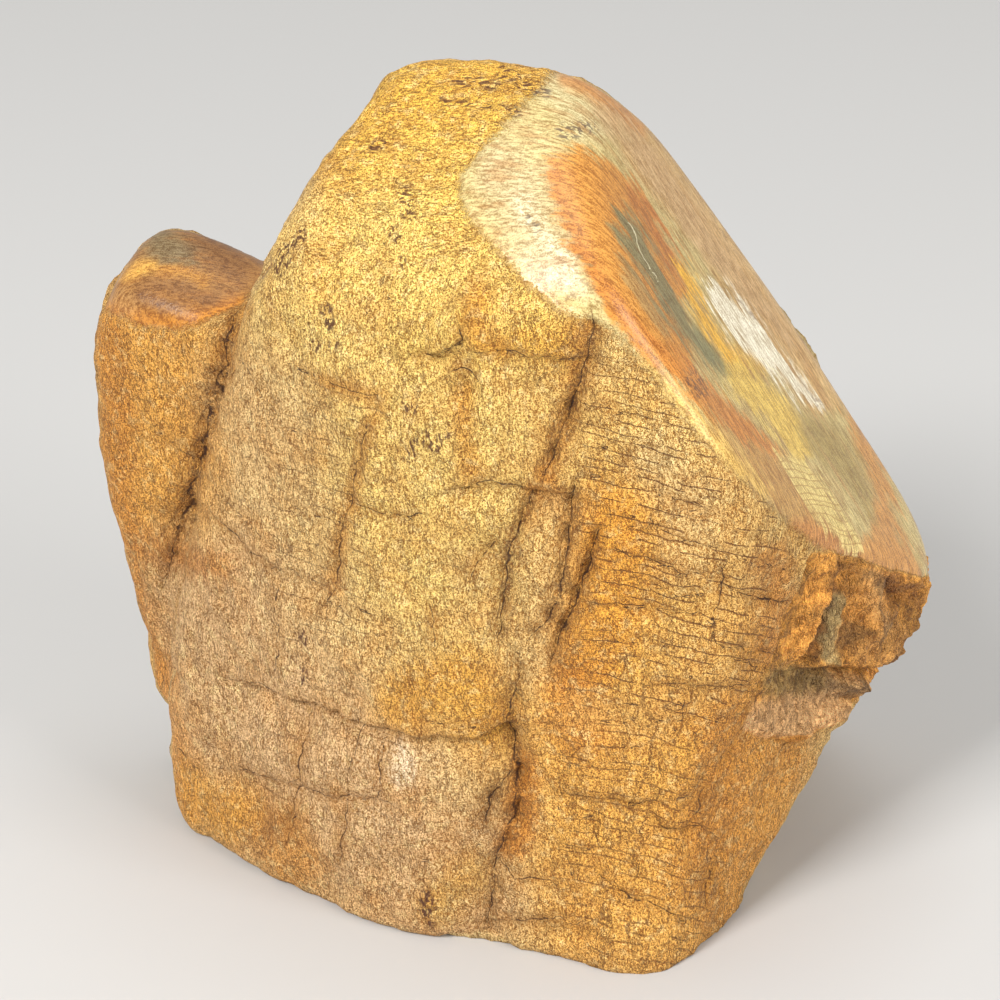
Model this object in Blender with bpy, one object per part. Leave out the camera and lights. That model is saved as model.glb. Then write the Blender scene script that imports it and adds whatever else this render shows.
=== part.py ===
"""Petrified wood: a heavy piece of fossil trunk that stands on a ground base.

One natural stone, in metres, +Z up, the broad rind side toward -Y.
It is a tapering body with a domed top, a lower shoulder on its left,
one long ground and polished face at the upper right, and a broken corner
below that face.  The stone is described as flats around its heart, which
are rounded into each other, and then the furrows, ledges and the break
are worked into the surface.
"""
import math

import bpy
import numpy as np
from mathutils import Vector, noise
from mathutils.geometry import delaunay_2d_cdt

NAME = "petrified_wood"

# Driving dimensions, in metres.
# A flat is (bearing, tilt, distance): the way it faces in degrees, 0 toward -Y
# and 90 toward +X, how far it leans up, and how far out from the heart it lies.
BODY_HEART = np.array((0.000, 0.008, 0.088))
BODY_FLATS = {
    "front left": (-42, -2, 0.0480),
    "front": (-12, -3, 0.0455),
    "right of the front": (46, -9, 0.0715),
    "under the right corner": (86, -33, 0.0955),
    "right": (108, -2, 0.0950),
    "back right": (140, 20, 0.0650),
    "back slope": (168, 50, 0.0820),
    "back": (180, 4, 0.0560),
    "back left": (-140, 0, 0.0700),
    "left": (-87, -4, 0.0810),
    "left slope": (-104, 27, 0.0670),
    "crown": (0, 80, 0.0985),
    "brow": (-25, 44, 0.0815),
    "forehead": (-18, 62, 0.0920),
    "upper front": (-25, 20, 0.0655),
    "beside the seam": (-100, 14, 0.0640),
}
BODY_ROUNDING = 0.0060

SHOULDER_HEART = np.array((-0.052, 0.026, 0.100))
SHOULDER_FLATS = {
    "left": (-90, -5, 0.0370),
    "outer slope": (-103, 25, 0.0420),
    "front": (-30, -8, 0.0205),
    "back": (178, 25, 0.0280),
    "back, below": (176, -6, 0.0340),
    "right": (90, 0, 0.0340),
    "inner slope": (130, 51, 0.0305),
    "top": (-10, 66, 0.0405),
    "underside": (-30, -60, 0.0700),
}
SHOULDER_ROUNDING = 0.006
SHOULDER_CREASE = 0.004
SHOULDER_CREASE_BEHIND = 0.016

POLISHED_FACING = (78, 33)
POLISHED_AT = np.array((0.0930, 0.0000, 0.0720))
POLISHED_RIM_LOW = 0.003
POLISHED_RIM_HIGH = 0.008
BASE_ROUNDING = 0.004
BASE_SINK = 0.0010

SWELL_SIZE = 0.042
SWELL_HEIGHT = 0.0016
LUMP_SIZE = 0.017
LUMP_HEIGHT = 0.0008

# Furrows down the grain: side, route as (across, up), width, depth.
FURROWS = {
    "main, upper": ("front", ((0.017, 0.158), (0.018, 0.153), (0.014, 0.137),
                              (0.012, 0.129), (0.008, 0.120)), 0.0022, 0.0024),
    "main, left strand": ("front", ((0.008, 0.120), (0.003, 0.108), (0.000, 0.095),
                                    (0.000, 0.085), (0.004, 0.077)), 0.0020, 0.0018),
    "main, right strand": ("front", ((0.014, 0.121), (0.018, 0.105), (0.014, 0.092),
                                     (0.008, 0.079)), 0.0020, 0.0017),
    "main, lower": ("front", ((0.007, 0.079), (0.003, 0.068), (0.004, 0.049),
                              (0.001, 0.034), (-0.003, 0.016), (-0.004, -0.002)),
                    0.0026, 0.0032),
    "shoulder seam": ("front", ((-0.055, 0.136), (-0.058, 0.127), (-0.061, 0.112),
                                (-0.065, 0.098), (-0.069, 0.086), (-0.073, 0.068)),
                      0.0018, 0.0014),
    "left of the middle": ("front", ((-0.025, 0.131), (-0.030, 0.115), (-0.032, 0.105),
                                     (-0.034, 0.094), (-0.036, 0.081)), 0.0016, 0.0010),
    "beside the main": ("front", ((0.021, 0.138), (0.019, 0.130), (0.017, 0.121)),
                        0.0015, 0.0010),
    "right of the front": ("front", ((0.045, 0.106), (0.044, 0.092), (0.043, 0.085),
                                     (0.045, 0.064), (0.046, 0.041), (0.043, 0.014)),
                           0.0015, 0.0011),
    "down from the ledge": ("front", ((-0.042, 0.052), (-0.043, 0.039), (-0.044, 0.030)),
                            0.0014, 0.0010),
    "foot of the left": ("front", ((-0.033, 0.034), (-0.034, 0.018), (-0.036, 0.008)),
                         0.0014, 0.0009),
    "back, long": ("back", ((-0.022, 0.156), (-0.017, 0.124), (-0.024, 0.088),
                            (-0.020, 0.050), (-0.028, 0.010)), 0.0028, 0.0030),
    "back, right": ("back", ((0.028, 0.140), (0.033, 0.104), (0.028, 0.070),
                             (0.036, 0.036), (0.034, 0.006)), 0.0022, 0.0020),
    "back, short": ("back", ((0.006, 0.126), (0.008, 0.102), (0.004, 0.082)),
                    0.0018, 0.0013),
    "left side": ("left", ((0.020, 0.118), (0.024, 0.088), (0.020, 0.052),
                           (0.026, 0.012)), 0.0022, 0.0018),
    "right side": ("right", ((0.026, 0.080), (0.020, 0.056), (0.026, 0.030),
                             (0.022, 0.006)), 0.0022, 0.0018),
}

# Ledges across the grain: the stone below the route stands back by the drop
# and comes out again over the reach.
LEDGES = {
    "big ledge": ("front", ((-0.060, 0.049), (-0.047, 0.052), (-0.035, 0.054),
                            (-0.025, 0.054), (-0.018, 0.055), (-0.004, 0.057),
                            (0.002, 0.061)), 0.0019, 0.016),
    "low ledge": ("front", ((-0.066, 0.025), (-0.049, 0.029), (-0.033, 0.033),
                            (-0.023, 0.035)), 0.0010, 0.010),
    "left plate": ("front", ((-0.066, 0.096), (-0.053, 0.086), (-0.040, 0.084)),
                   0.0010, 0.012),
    "middle plate": ("front", ((-0.020, 0.112), (-0.011, 0.115), (-0.003, 0.118),
                               (0.008, 0.117), (0.014, 0.116)), 0.0009, 0.010),
    "upper plate": ("front", ((-0.020, 0.145), (-0.007, 0.148), (0.001, 0.148),
                              (0.015, 0.147)), 0.0007, 0.008),
    "back, high": ("back", ((-0.062, 0.096), (-0.036, 0.090), (-0.018, 0.094)),
                   0.0018, 0.016),
    "back, middle": ("back", ((-0.020, 0.062), (0.006, 0.058), (0.034, 0.064),
                              (0.056, 0.058)), 0.0022, 0.018),
    "back, low": ("back", ((-0.058, 0.034), (-0.040, 0.029), (-0.024, 0.032)),
                  0.0014, 0.012),
    "left side": ("left", ((0.012, 0.044), (0.028, 0.040), (0.048, 0.046)),
                  0.0012, 0.014),
    "right side": ("right", ((0.004, 0.040), (0.028, 0.044), (0.050, 0.038)),
                   0.0018, 0.014),
}

# Small hollows and lumps: side, place, radius, depth (a lump is negative).
SPOTS = {
    "arched pit": ("front", (-0.008, 0.141), 0.0026, 0.0022),
    "ragged knob": ("front", (-0.009, 0.153), 0.0050, -0.0015),
    "hollow by the furrow": ("front", (0.011, 0.112), 0.0060, 0.0012),
    "swelling above the ledge": ("front", (-0.014, 0.064), 0.0150, -0.0014),
    "notch in the foot": ("front", (-0.004, 0.002), 0.0070, 0.0022),
    "toe of the foot": ("front", (0.031, 0.002), 0.0150, -0.0045),
    "knot on the back": ("back", (0.008, 0.112), 0.0120, -0.0030),
    "hollow beside the knot": ("back", (-0.002, 0.098), 0.0080, 0.0020),
}

# The broken corner, looked at from one bearing: its edges, crests and clefts as
# lines of (across, up, height) in millimetres.  Flat facets span between them.
BREAK_BEARING = 40
BREAK_LINES = {
    "edge of the rind": ((29, 98, 0), (28, 93, 0), (26, 89, 0), (23.5, 84, 0), (23, 78, 0),
                         (26, 70.5, 0)),
    "foot of the first wedge": ((31, 92, -0.9), (29, 84.5, -1.2), (27.5, 77, -0.9)),
    "crest of the first wedge": ((37.5, 92.5, 0.6), (37, 87, 1.2), (35, 81, 1.5),
                                 (33, 74.5, 1.3), (30, 70, 0.6)),
    "first cleft": ((41, 89, -2.6), (40, 85, -3.4), (38.5, 80, -3.8), (36.5, 72, -3.2),
                    (35, 67.5, -2.0)),
    "block, left": ((42.8, 80, -1.6), (41.5, 76, -1.2), (41.2, 67, -1.0)),
    "block, right": ((45.8, 79.5, -1.4), (45.5, 73, -0.9), (45, 65, -0.8)),
    "second cleft": ((47.5, 83.5, -2.4), (48.5, 77, -3.0), (49, 69.5, -2.8), (49.5, 63, -1.6)),
    "crest of the big wedge": ((53, 81, -0.6), (56.5, 74, 0.8), (59, 65.5, 1.4),
                               (61, 58, 1.0)),
    "hollow of the big wedge": ((60.5, 75.5, -2.6), (66, 69.5, -3.2), (70.5, 66, -2.4)),
    "outer crest": ((77, 65.5, 0.2), (77, 61, 1.0), (73, 55, 1.2)),
    "edge of the polish": ((35, 94.5, 0), (47, 87, 0), (59.5, 78.5, 0), (79, 67, 0),
                           (92, 68, 0)),
    "lower rim": ((28, 69.5, 0.2), (36, 65.5, 0.4), (50, 60, 0.6), (62, 54.5, 1.2),
                  (73, 50.5, 1.0)),
    "undercut": ((21.5, 70, 0), (27.5, 66.5, -3.6), (38, 61, -4.4), (49.5, 56.5, -4.2),
                 (62, 50.5, -3.8), (75, 46, -3.4)),
    "chip": ((50, 54, -1.6), (56, 51, 0.6), (61, 47.5, 0.8)),
    "back of the shelf": ((21.5, 62, -0.8), (34, 57, -2.6), (49, 49.5, -2.8), (60, 43.5, -3.0)),
    "edge of the shelf": ((17.5, 57.5, 0), (26.5, 52, 0.2), (39.5, 46, 0.3), (50.5, 43.5, -0.4),
                          (61, 37.5, -1.8)),
    "notch": ((26.5, 49.3, -1.8), (39.5, 42.3, -2.4), (48.5, 40.5, -2.6), (60, 33.5, -3.2)),
    "below the notch": ((22.5, 45, 0), (38, 34, -0.8), (47, 31, -1.6), (60, 24, -2.4),
                        (72, 22, -2.8)),
    "hollow of the flank": ((86, 60, -1.4), (85, 48, -3.6), (84, 36, -4.0), (83, 22, -2.6)),
    "outside": ((30, 20, 0), (50, 9, 0), (72, 5, 0), (92, 6, 0), (101, 22, 0), (105, 42, 0),
                (101, 60, 0)),
}
SPLINTER_SIZE = 0.0085
SPLINTER_LEAN = 0.34
SPLINTER_EDGE = 0.10

TRIANGLES_WANTED = 8200
RIND_COLOUR = (0.47, 0.32, 0.14, 1.0)
RIND_ROUGHNESS = 0.78


def facing(bearing, tilt):
    """The unit direction that a flat faces."""
    turn, rise = math.radians(bearing), math.radians(tilt)
    flat = math.cos(rise)
    return np.array((math.sin(turn) * flat, -math.cos(turn) * flat, math.sin(rise)))


def easing(value, low, high):
    """0 below low, 1 above high, and a soft S between."""
    share = np.clip((value - low) / (high - low), 0.0, 1.0)
    return share * share * (3.0 - 2.0 * share)


def rounded_largest(values, rounding):
    """The largest of several distances, rounded where they cross."""
    stack = np.stack(values)
    top = stack.max(axis=0)
    reach = rounding * 0.5
    return top + reach * np.log(np.exp((stack - top) / reach).sum(axis=0))


def hewn(points, heart, flats, rounding):
    """Distance to a solid bounded by flats around a heart."""
    from_heart = points - heart
    values = [from_heart @ facing(b, t) - d for b, t, d in flats.values()]
    return rounded_largest(values, rounding)


def joined(first, second, crease):
    """Union of two solids with a soft crease between them."""
    share = np.clip(0.5 + 0.5 * (second - first) / crease, 0.0, 1.0)
    return second * (1.0 - share) + first * share - crease * share * (1.0 - share)


def rough_stone(points):
    """Distance to the stone before its face was ground."""
    body = hewn(points, BODY_HEART, BODY_FLATS, BODY_ROUNDING)
    shoulder = hewn(points, SHOULDER_HEART, SHOULDER_FLATS, SHOULDER_ROUNDING)
    behind = easing(points[:, 1], 0.025, 0.050)
    crease = SHOULDER_CREASE + (SHOULDER_CREASE_BEHIND - SHOULDER_CREASE) * behind
    return joined(body, shoulder, crease)


def ground_face(points):
    """Distance in front of the plane of the polished face."""
    return (points - POLISHED_AT) @ facing(*POLISHED_FACING)


def stone(points):
    """Distance to the whole stone, ground face and base included."""
    rim = POLISHED_RIM_LOW + (POLISHED_RIM_HIGH - POLISHED_RIM_LOW) * easing(
        points[:, 2], 0.120, 0.170)
    rough = rough_stone(points)
    ground = ground_face(points)
    top = np.maximum(rough, ground)
    shape = top + rim * 0.5 * np.log1p(np.exp(-np.abs(rough - ground) / (rim * 0.5)))
    return rounded_largest([shape, -BASE_SINK - points[:, 2]], BASE_ROUNDING)


def outward(points):
    """The direction in which the distance grows."""
    step = 0.0005
    slopes = []
    for axis in range(3):
        move = np.zeros(3)
        move[axis] = step
        slopes.append(stone(points + move) - stone(points - move))
    slopes = np.stack(slopes, axis=1)
    return slopes / np.linalg.norm(slopes, axis=1, keepdims=True)


def on_stone(directions):
    """Where straight lines from the heart leave the stone."""
    near = np.full(len(directions), 0.020)
    far = near.copy()
    found = np.zeros(len(directions), dtype=bool)
    for _ in range(90):
        outside = stone(BODY_HEART + directions * far[:, None]) > 0.0
        found |= outside
        near = np.where(found, near, far)
        far = np.where(found, far, far + 0.002)
    for _ in range(14):
        middle = (near + far) * 0.5
        outside = stone(BODY_HEART + directions * middle[:, None]) > 0.0
        near = np.where(outside, near, middle)
        far = np.where(outside, middle, far)
    return BODY_HEART + directions * far[:, None]


def seen_from(side, points, normals):
    """Flat coordinates on one side, and how much each point faces it."""
    across = points[:, 0] if side in ("front", "back") else points[:, 1]
    look = {"front": (0, -1), "back": (0, 1), "left": (-1, 0), "right": (1, 0)}[side]
    turned = normals[:, 0] * look[0] + normals[:, 1] * look[1]
    return np.stack((across, points[:, 2]), axis=1), easing(turned, 0.20, 0.50)


def nearest_on_route(flat, route):
    """Distance to a route, and the height above it."""
    best = np.full(len(flat), 9.0)
    above = np.zeros(len(flat))
    for start, end in zip(route[:-1], route[1:]):
        a, b = np.array(start), np.array(end)
        along = b - a
        share = np.clip(((flat - a) @ along) / (along @ along), 0.0, 1.0)
        gap = flat - (a + share[:, None] * along)
        distance = np.linalg.norm(gap, axis=1)
        closer = distance < best
        best = np.where(closer, distance, best)
        above = np.where(closer, gap[:, 1], above)
    return best, above


def worked_depth(points, normals):
    """How far the furrows, ledges and spots stand back from the flats."""
    depth = np.zeros(len(points))
    for side, route, width, deep in FURROWS.values():
        flat, faces = seen_from(side, points, normals)
        distance, _ = nearest_on_route(flat, route)
        depth += deep * np.exp(-(distance / width) ** 2) * faces
    for side, route, drop, reach in LEDGES.values():
        flat, faces = seen_from(side, points, normals)
        distance, above = nearest_on_route(flat, route)
        below = np.clip(-above, 0.0, None)
        sideways = np.sqrt(np.clip(distance ** 2 - above ** 2, 0.0, None))
        step = easing(-above, -0.0004, 0.0011) * (1.0 - easing(below, 0.0, reach))
        depth += drop * step * (1.0 - easing(sideways, 0.0, 0.006)) * faces
    for side, place, radius, deep in SPOTS.values():
        flat, faces = seen_from(side, points, normals)
        distance = np.linalg.norm(flat - np.array(place), axis=1)
        depth += deep * np.exp(-(distance / radius) ** 2) * faces
    return depth


def swelling(points):
    """Slow, uneven swelling of a weathered surface."""
    height = np.zeros(len(points))
    for index, point in enumerate(points):
        place = Vector(point)
        slow = noise.noise(Vector((place.x, place.y, place.z * 0.7)) / SWELL_SIZE)
        quick = noise.noise(place / LUMP_SIZE + Vector((7.0, 3.0, 5.0)))
        height[index] = slow * SWELL_HEIGHT + quick * LUMP_HEIGHT
    return height


def break_facets():
    """The flat triangles between the lines of the broken corner."""
    spots, creases = [], []
    for line in BREAK_LINES.values():
        first = len(spots)
        spots.extend(line)
        creases.extend((index, index + 1) for index in range(first, len(spots) - 1))
    flat = [Vector(spot[:2]) for spot in spots]
    _, _, faces, sources, _, _ = delaunay_2d_cdt(flat, creases, [], 0, 0.0001)
    return [np.array([spots[sources[corner][0]] for corner in face]) for face in faces]


def broken_height(points, normals):
    """How far the facets of the broken corner stand out from the plain stone."""
    turn = math.radians(BREAK_BEARING)
    across = points[:, 0] * math.cos(turn) + points[:, 1] * math.sin(turn)
    flat = np.stack((across, points[:, 2]), axis=1) * 1000.0
    turned = normals[:, 0] * math.sin(turn) - normals[:, 1] * math.cos(turn)
    height = np.zeros(len(points))
    for a, b, c in break_facets():
        sides = np.array((b[:2] - a[:2], c[:2] - a[:2])).T
        if abs(np.linalg.det(sides)) < 1e-6:
            continue
        share = (flat - a[:2]) @ np.linalg.inv(sides).T
        inside = (share >= 0.0).all(axis=1) & (share.sum(axis=1) <= 1.0)
        leaning = a[2] + share @ np.array((b[2] - a[2], c[2] - a[2]))
        height = np.where(inside, leaning, height)
    return height * easing(turned, 0.05, 0.25) * 0.001


def splintered(points, near):
    """Small flat splinters with steps between them, for the broken corner."""
    height = np.zeros(len(points))
    for index in np.flatnonzero(near):
        place = Vector(points[index]) / SPLINTER_SIZE
        distances, seeds = noise.voronoi(place)
        total, share = 0.0, 0.0
        for distance, seed in zip(distances, seeds):
            weight = math.exp((distances[0] - distance) / SPLINTER_EDGE)
            lean = noise.cell_vector(seed * 5.3)
            total += weight * (place - seed).dot(lean)
            share += weight
        height[index] = total / share * SPLINTER_SIZE * SPLINTER_LEAN
    return height


def weather(points):
    """Move the points of the plain stone to its worked surface."""
    normals = outward(points)
    rough, ground = rough_stone(points), ground_face(points)
    polish = easing(ground - rough, -0.0030, 0.0005)
    # The top of the shoulder is ground too.
    shoulder_top = (points - SHOULDER_HEART) @ facing(-10, 66) - 0.0405
    polish = np.maximum(polish, easing(shoulder_top, -0.0035, -0.0010) * (points[:, 0] < -0.045))
    rind = (1.0 - polish) * easing(points[:, 2], -0.0005, 0.0060)
    facets = broken_height(points, normals)
    broken = easing(np.abs(facets), 0.0002, 0.0009) * easing(points[:, 2], 0.050, 0.060)
    height = swelling(points) * rind * (1.0 - broken)
    height += splintered(points, broken > 0.01) * broken * (1.0 - polish)
    # The break reaches closer to the polished face than the weathering does.
    height += facets * (1.0 - easing(ground - rough, -0.0014, 0.0004))
    height -= worked_depth(points, normals) * (1.0 - polish) * np.where(
        points[:, 2] < 0.004, 0.8, 1.0)
    return points + normals * height[:, None]


def evaluated_mesh(source):
    """A plain mesh of the object with its modifiers carried out."""
    bpy.context.view_layer.update()
    graph = bpy.context.evaluated_depsgraph_get()
    return bpy.data.meshes.new_from_object(source.evaluated_get(graph))


def rind_material():
    material = bpy.data.materials.new("weathered rind")
    material.use_nodes = True
    shader = material.node_tree.nodes["Principled BSDF"]
    shader.inputs["Base Color"].default_value = RIND_COLOUR
    shader.inputs["Roughness"].default_value = RIND_ROUGHNESS
    shader.inputs["Metallic"].default_value = 0.0
    material.diffuse_color = RIND_COLOUR
    return material


def carry_out(source, modifier):
    """Replace the object's mesh by the result of one modifier."""
    old = source.data
    source.data = evaluated_mesh(source)
    source.modifiers.remove(modifier)
    bpy.data.meshes.remove(old)


def main():
    for old in list(bpy.data.objects):
        bpy.data.objects.remove(old, do_unlink=True)
    parts = bpy.data.collections.new("petrified wood")
    bpy.context.scene.collection.children.link(parts)

    # A ball of fine triangles is drawn in from all sides onto the stone.
    bpy.ops.mesh.primitive_ico_sphere_add(subdivisions=7, radius=1.0)
    rock = bpy.context.object
    rock.name = NAME
    for collection in list(rock.users_collection):
        collection.objects.unlink(rock)
    parts.objects.link(rock)
    count = len(rock.data.vertices)
    ball = np.empty(count * 3)
    rock.data.vertices.foreach_get("co", ball)
    ball = ball.reshape(-1, 3)
    ball /= np.linalg.norm(ball, axis=1, keepdims=True)
    shaped = weather(on_stone(ball))
    rock.data.vertices.foreach_set("co", shaped.ravel())
    rock.data.update()

    # Fewer triangles on the flats, the ledges and furrows keep theirs.
    fewer = rock.modifiers.new("fewer triangles", "DECIMATE")
    fewer.ratio = TRIANGLES_WANTED / len(rock.data.polygons)
    carry_out(rock, fewer)

    # The base is cut flat.
    bpy.ops.mesh.primitive_cube_add(size=1.0)
    block = bpy.context.object
    block.name = "below the base"
    block.scale = (0.4, 0.4, 0.04)
    block.location = (0.0, 0.0, -0.02)
    block.hide_render = True
    block.display_type = "WIRE"
    flat_base = rock.modifiers.new("flat base", "BOOLEAN")
    flat_base.operation = "DIFFERENCE"
    flat_base.solver = "EXACT"
    flat_base.object = block
    carry_out(rock, flat_base)
    bpy.data.objects.remove(block, do_unlink=True)

    # The origin goes to the middle of the box, on the floor.
    corners = np.array([vertex.co[:] for vertex in rock.data.vertices])
    low, high = corners.min(axis=0), corners.max(axis=0)
    middle = (low + high) * 0.5
    corners -= np.array((middle[0], middle[1], low[2]))
    rock.data.vertices.foreach_set("co", corners.ravel())
    rock.data.shade_smooth()
    rock.data.set_sharp_from_angle(angle=math.radians(38))
    rock.data.update()

    rock.data.materials.clear()
    rock.data.materials.append(rind_material())
    size = high - low
    print("size in mm", [round(float(v) * 1000, 2) for v in size])
    print("moved by mm", [round(float(v) * 1000, 3) for v in (middle[0], middle[1], low[2])])
    print("faces", len(rock.data.polygons))


main()
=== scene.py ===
# %% [markdown]
# # Petrified wood, a standing polished piece
# Petrified wood is quartz that took the place of the wood, so this is one heavy stone.
# Most of it still wears its weathered rind. One long face and the top of the left
# shoulder were ground and polished, and one corner broke off.
# The scene loads the measured solid, gives the stone a finer surface of the same size,
# colours it, and stands it on a pale floor.

import math

import bmesh
import bpy
import numpy as np
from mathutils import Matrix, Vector, noise
from mathutils.geometry import delaunay_2d_cdt


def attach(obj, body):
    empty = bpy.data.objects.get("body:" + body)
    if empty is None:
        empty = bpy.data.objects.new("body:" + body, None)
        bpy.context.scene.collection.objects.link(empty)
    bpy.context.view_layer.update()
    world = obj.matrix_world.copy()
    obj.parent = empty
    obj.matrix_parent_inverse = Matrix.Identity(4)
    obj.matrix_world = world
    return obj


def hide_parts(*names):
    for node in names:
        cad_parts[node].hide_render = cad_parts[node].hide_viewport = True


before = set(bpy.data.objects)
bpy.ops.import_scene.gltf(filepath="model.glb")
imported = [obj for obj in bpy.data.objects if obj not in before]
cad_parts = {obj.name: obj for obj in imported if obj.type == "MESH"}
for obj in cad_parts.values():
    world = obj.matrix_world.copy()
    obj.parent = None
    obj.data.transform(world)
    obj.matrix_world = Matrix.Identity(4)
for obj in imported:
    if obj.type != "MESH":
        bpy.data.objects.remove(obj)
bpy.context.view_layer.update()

# %% [markdown]
# ## The camera
# The photograph looks down by about 27 degrees with a long lens. The camera comes first,
# because many cracks and colours are placed where that camera sees them.
# A long focal length from close by keeps the stone's edges as in the photograph.

# %% Camera at the photograph's angle
VIEW_DOWN = math.radians(27)
VIEW_DISTANCE = 0.70
FOCAL_PIXELS = 3256
PICTURE_MIDDLE = 500
# The solid's origin is under the middle of its box. The form was first measured from an
# origin of its own, which lies this far away.
BOX_SHIFT = np.array((0.00248, 0.01036, 0.0))
AIM = np.array((0.0, 0.0, 0.0935)) - BOX_SHIFT
FORWARD = np.array((0.0, math.cos(VIEW_DOWN), -math.sin(VIEW_DOWN)))
SIDEWAYS = np.array((1.0, 0.0, 0.0))
UPWARD = np.array((0.0, math.sin(VIEW_DOWN), math.cos(VIEW_DOWN)))
EYE = AIM - VIEW_DISTANCE * FORWARD

camera_data = bpy.data.cameras.new("camera")
camera_data.sensor_width = 36.0
camera_data.lens = FOCAL_PIXELS / (2 * PICTURE_MIDDLE) * camera_data.sensor_width
camera_data.clip_end = 30.0
camera = bpy.data.objects.new("camera", camera_data)
camera.location = EYE
camera.rotation_euler = (math.pi / 2 - VIEW_DOWN, 0.0, 0.0)
bpy.context.scene.collection.objects.link(camera)
bpy.context.scene.camera = camera
print("lens in mm", round(camera_data.lens, 1))


def in_picture(points):
    """Where the photograph shows each point, in its pixels."""
    offset = points - EYE
    depth = offset @ FORWARD
    across = PICTURE_MIDDLE + FOCAL_PIXELS * (offset @ SIDEWAYS) / depth
    down = PICTURE_MIDDLE - FOCAL_PIXELS * (offset @ UPWARD) / depth
    return np.stack((across, down), axis=1)


# %% [markdown]
# ## The plain form
# A stone has no straight edges to measure, so its form is written as flats around a
# heart: the way each flat faces, how far it leans up, and how far out it lies.
# The solid was made from the same flats. Using them again gives a smooth surface
# to carve, where the solid only has coarse triangles.

# %% Flats of the stone
BODY_HEART = np.array((0.000, 0.008, 0.088)) - BOX_SHIFT
BODY_FLATS = {
    # name: bearing and tilt in degrees, distance from the heart in metres
    "front left": (-42, -2, 0.0480),
    "front": (-12, -3, 0.0455),
    "right of the front": (46, -9, 0.0715),
    "under the right corner": (86, -33, 0.0955),
    "right": (108, -2, 0.0950),
    "back right": (140, 20, 0.0650),
    "back slope": (168, 50, 0.0820),
    "back": (180, 4, 0.0560),
    "back left": (-140, 0, 0.0700),
    "left": (-87, -4, 0.0810),
    "left slope": (-104, 27, 0.0670),
    "crown": (0, 80, 0.0985),
    "brow": (-25, 44, 0.0815),
    "forehead": (-18, 62, 0.0920),
    "upper front": (-25, 20, 0.0655),
    "beside the seam": (-100, 14, 0.0640),
}
BODY_ROUNDING = 0.0060
SHOULDER_HEART = np.array((-0.052, 0.026, 0.100)) - BOX_SHIFT
SHOULDER_FLATS = {
    "left": (-90, -5, 0.0370),
    "outer slope": (-103, 25, 0.0420),
    "front": (-30, -8, 0.0205),
    "back": (178, 25, 0.0280),
    "back, below": (176, -6, 0.0340),
    "right": (90, 0, 0.0340),
    "inner slope": (130, 51, 0.0305),
    "top": (-10, 66, 0.0405),
    "underside": (-30, -60, 0.0700),
}
SHOULDER_ROUNDING = 0.006
POLISHED_FACING = (78, 33)
POLISHED_AT = np.array((0.0930, 0.0000, 0.0720)) - BOX_SHIFT


def facing(bearing, tilt):
    """The unit direction that a flat faces."""
    turn, rise = math.radians(bearing), math.radians(tilt)
    level = math.cos(rise)
    return np.array((math.sin(turn) * level, -math.cos(turn) * level, math.sin(rise)))


def easing(value, low, high):
    """0 below low, 1 above high, and a soft S between."""
    share = np.clip((value - low) / (high - low), 0.0, 1.0)
    return share * share * (3.0 - 2.0 * share)


# %% Distance to the plain form
def rounded_largest(values, rounding):
    """The largest of several distances, rounded where they cross."""
    stack = np.stack(values)
    top = stack.max(axis=0)
    reach = rounding * 0.5
    return top + reach * np.log(np.exp((stack - top) / reach).sum(axis=0))


def hewn(points, heart, flats, rounding):
    """Distance to a solid bounded by flats around a heart."""
    from_heart = points - heart
    return rounded_largest([from_heart @ facing(b, t) - d for b, t, d in flats.values()], rounding)


def rough_stone(points):
    """Distance to the stone before its face was ground."""
    body = hewn(points, BODY_HEART, BODY_FLATS, BODY_ROUNDING)
    shoulder = hewn(points, SHOULDER_HEART, SHOULDER_FLATS, SHOULDER_ROUNDING)
    crease = 0.004 + 0.012 * easing(points[:, 1] + BOX_SHIFT[1], 0.025, 0.050)
    share = np.clip(0.5 + 0.5 * (shoulder - body) / crease, 0.0, 1.0)
    return shoulder * (1.0 - share) + body * share - crease * share * (1.0 - share)


def ground_face(points):
    """Distance in front of the plane of the polished face."""
    return (points - POLISHED_AT) @ facing(*POLISHED_FACING)


def stone(points):
    """Distance to the whole stone, ground face and base included."""
    rim = 0.003 + 0.005 * easing(points[:, 2], 0.120, 0.170)
    rough, ground = rough_stone(points), ground_face(points)
    shape = np.maximum(rough, ground) + rim * 0.5 * np.log1p(
        np.exp(-np.abs(rough - ground) / (rim * 0.5)))
    return rounded_largest([shape, -0.001 - points[:, 2]], 0.004)


def outward(points):
    """The direction in which the distance grows."""
    slopes = np.empty_like(points)
    for axis in range(3):
        move = np.zeros(3)
        move[axis] = 0.0005
        slopes[:, axis] = stone(points + move) - stone(points - move)
    return slopes / np.linalg.norm(slopes, axis=1, keepdims=True)


# %% [markdown]
# ## An even skin
# A voxel remesh turns the solid's long triangles into small, even squares, about 1.4 mm
# wide, and each corner then slides onto the smooth form. Subdivision would have kept
# the long triangles, and they shade badly once the surface is carved.

# %% Remesh the solid's shape and slide it onto the plain form
SKIN_SPACING = 0.00138
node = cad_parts["petrified_wood"]
skin = bpy.data.objects.new("petrified_wood_stone", node.data.copy())
bpy.context.scene.collection.objects.link(skin)
weld = skin.modifiers.new("weld", "WELD")
weld.merge_threshold = 0.00001
remesh = skin.modifiers.new("even skin", "REMESH")
remesh.mode = "VOXEL"
remesh.voxel_size = SKIN_SPACING
bpy.context.view_layer.update()
graph = bpy.context.evaluated_depsgraph_get()
skin_mesh = bpy.data.meshes.new_from_object(skin.evaluated_get(graph))
skin.modifiers.clear()
skin.data = skin_mesh


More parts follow.
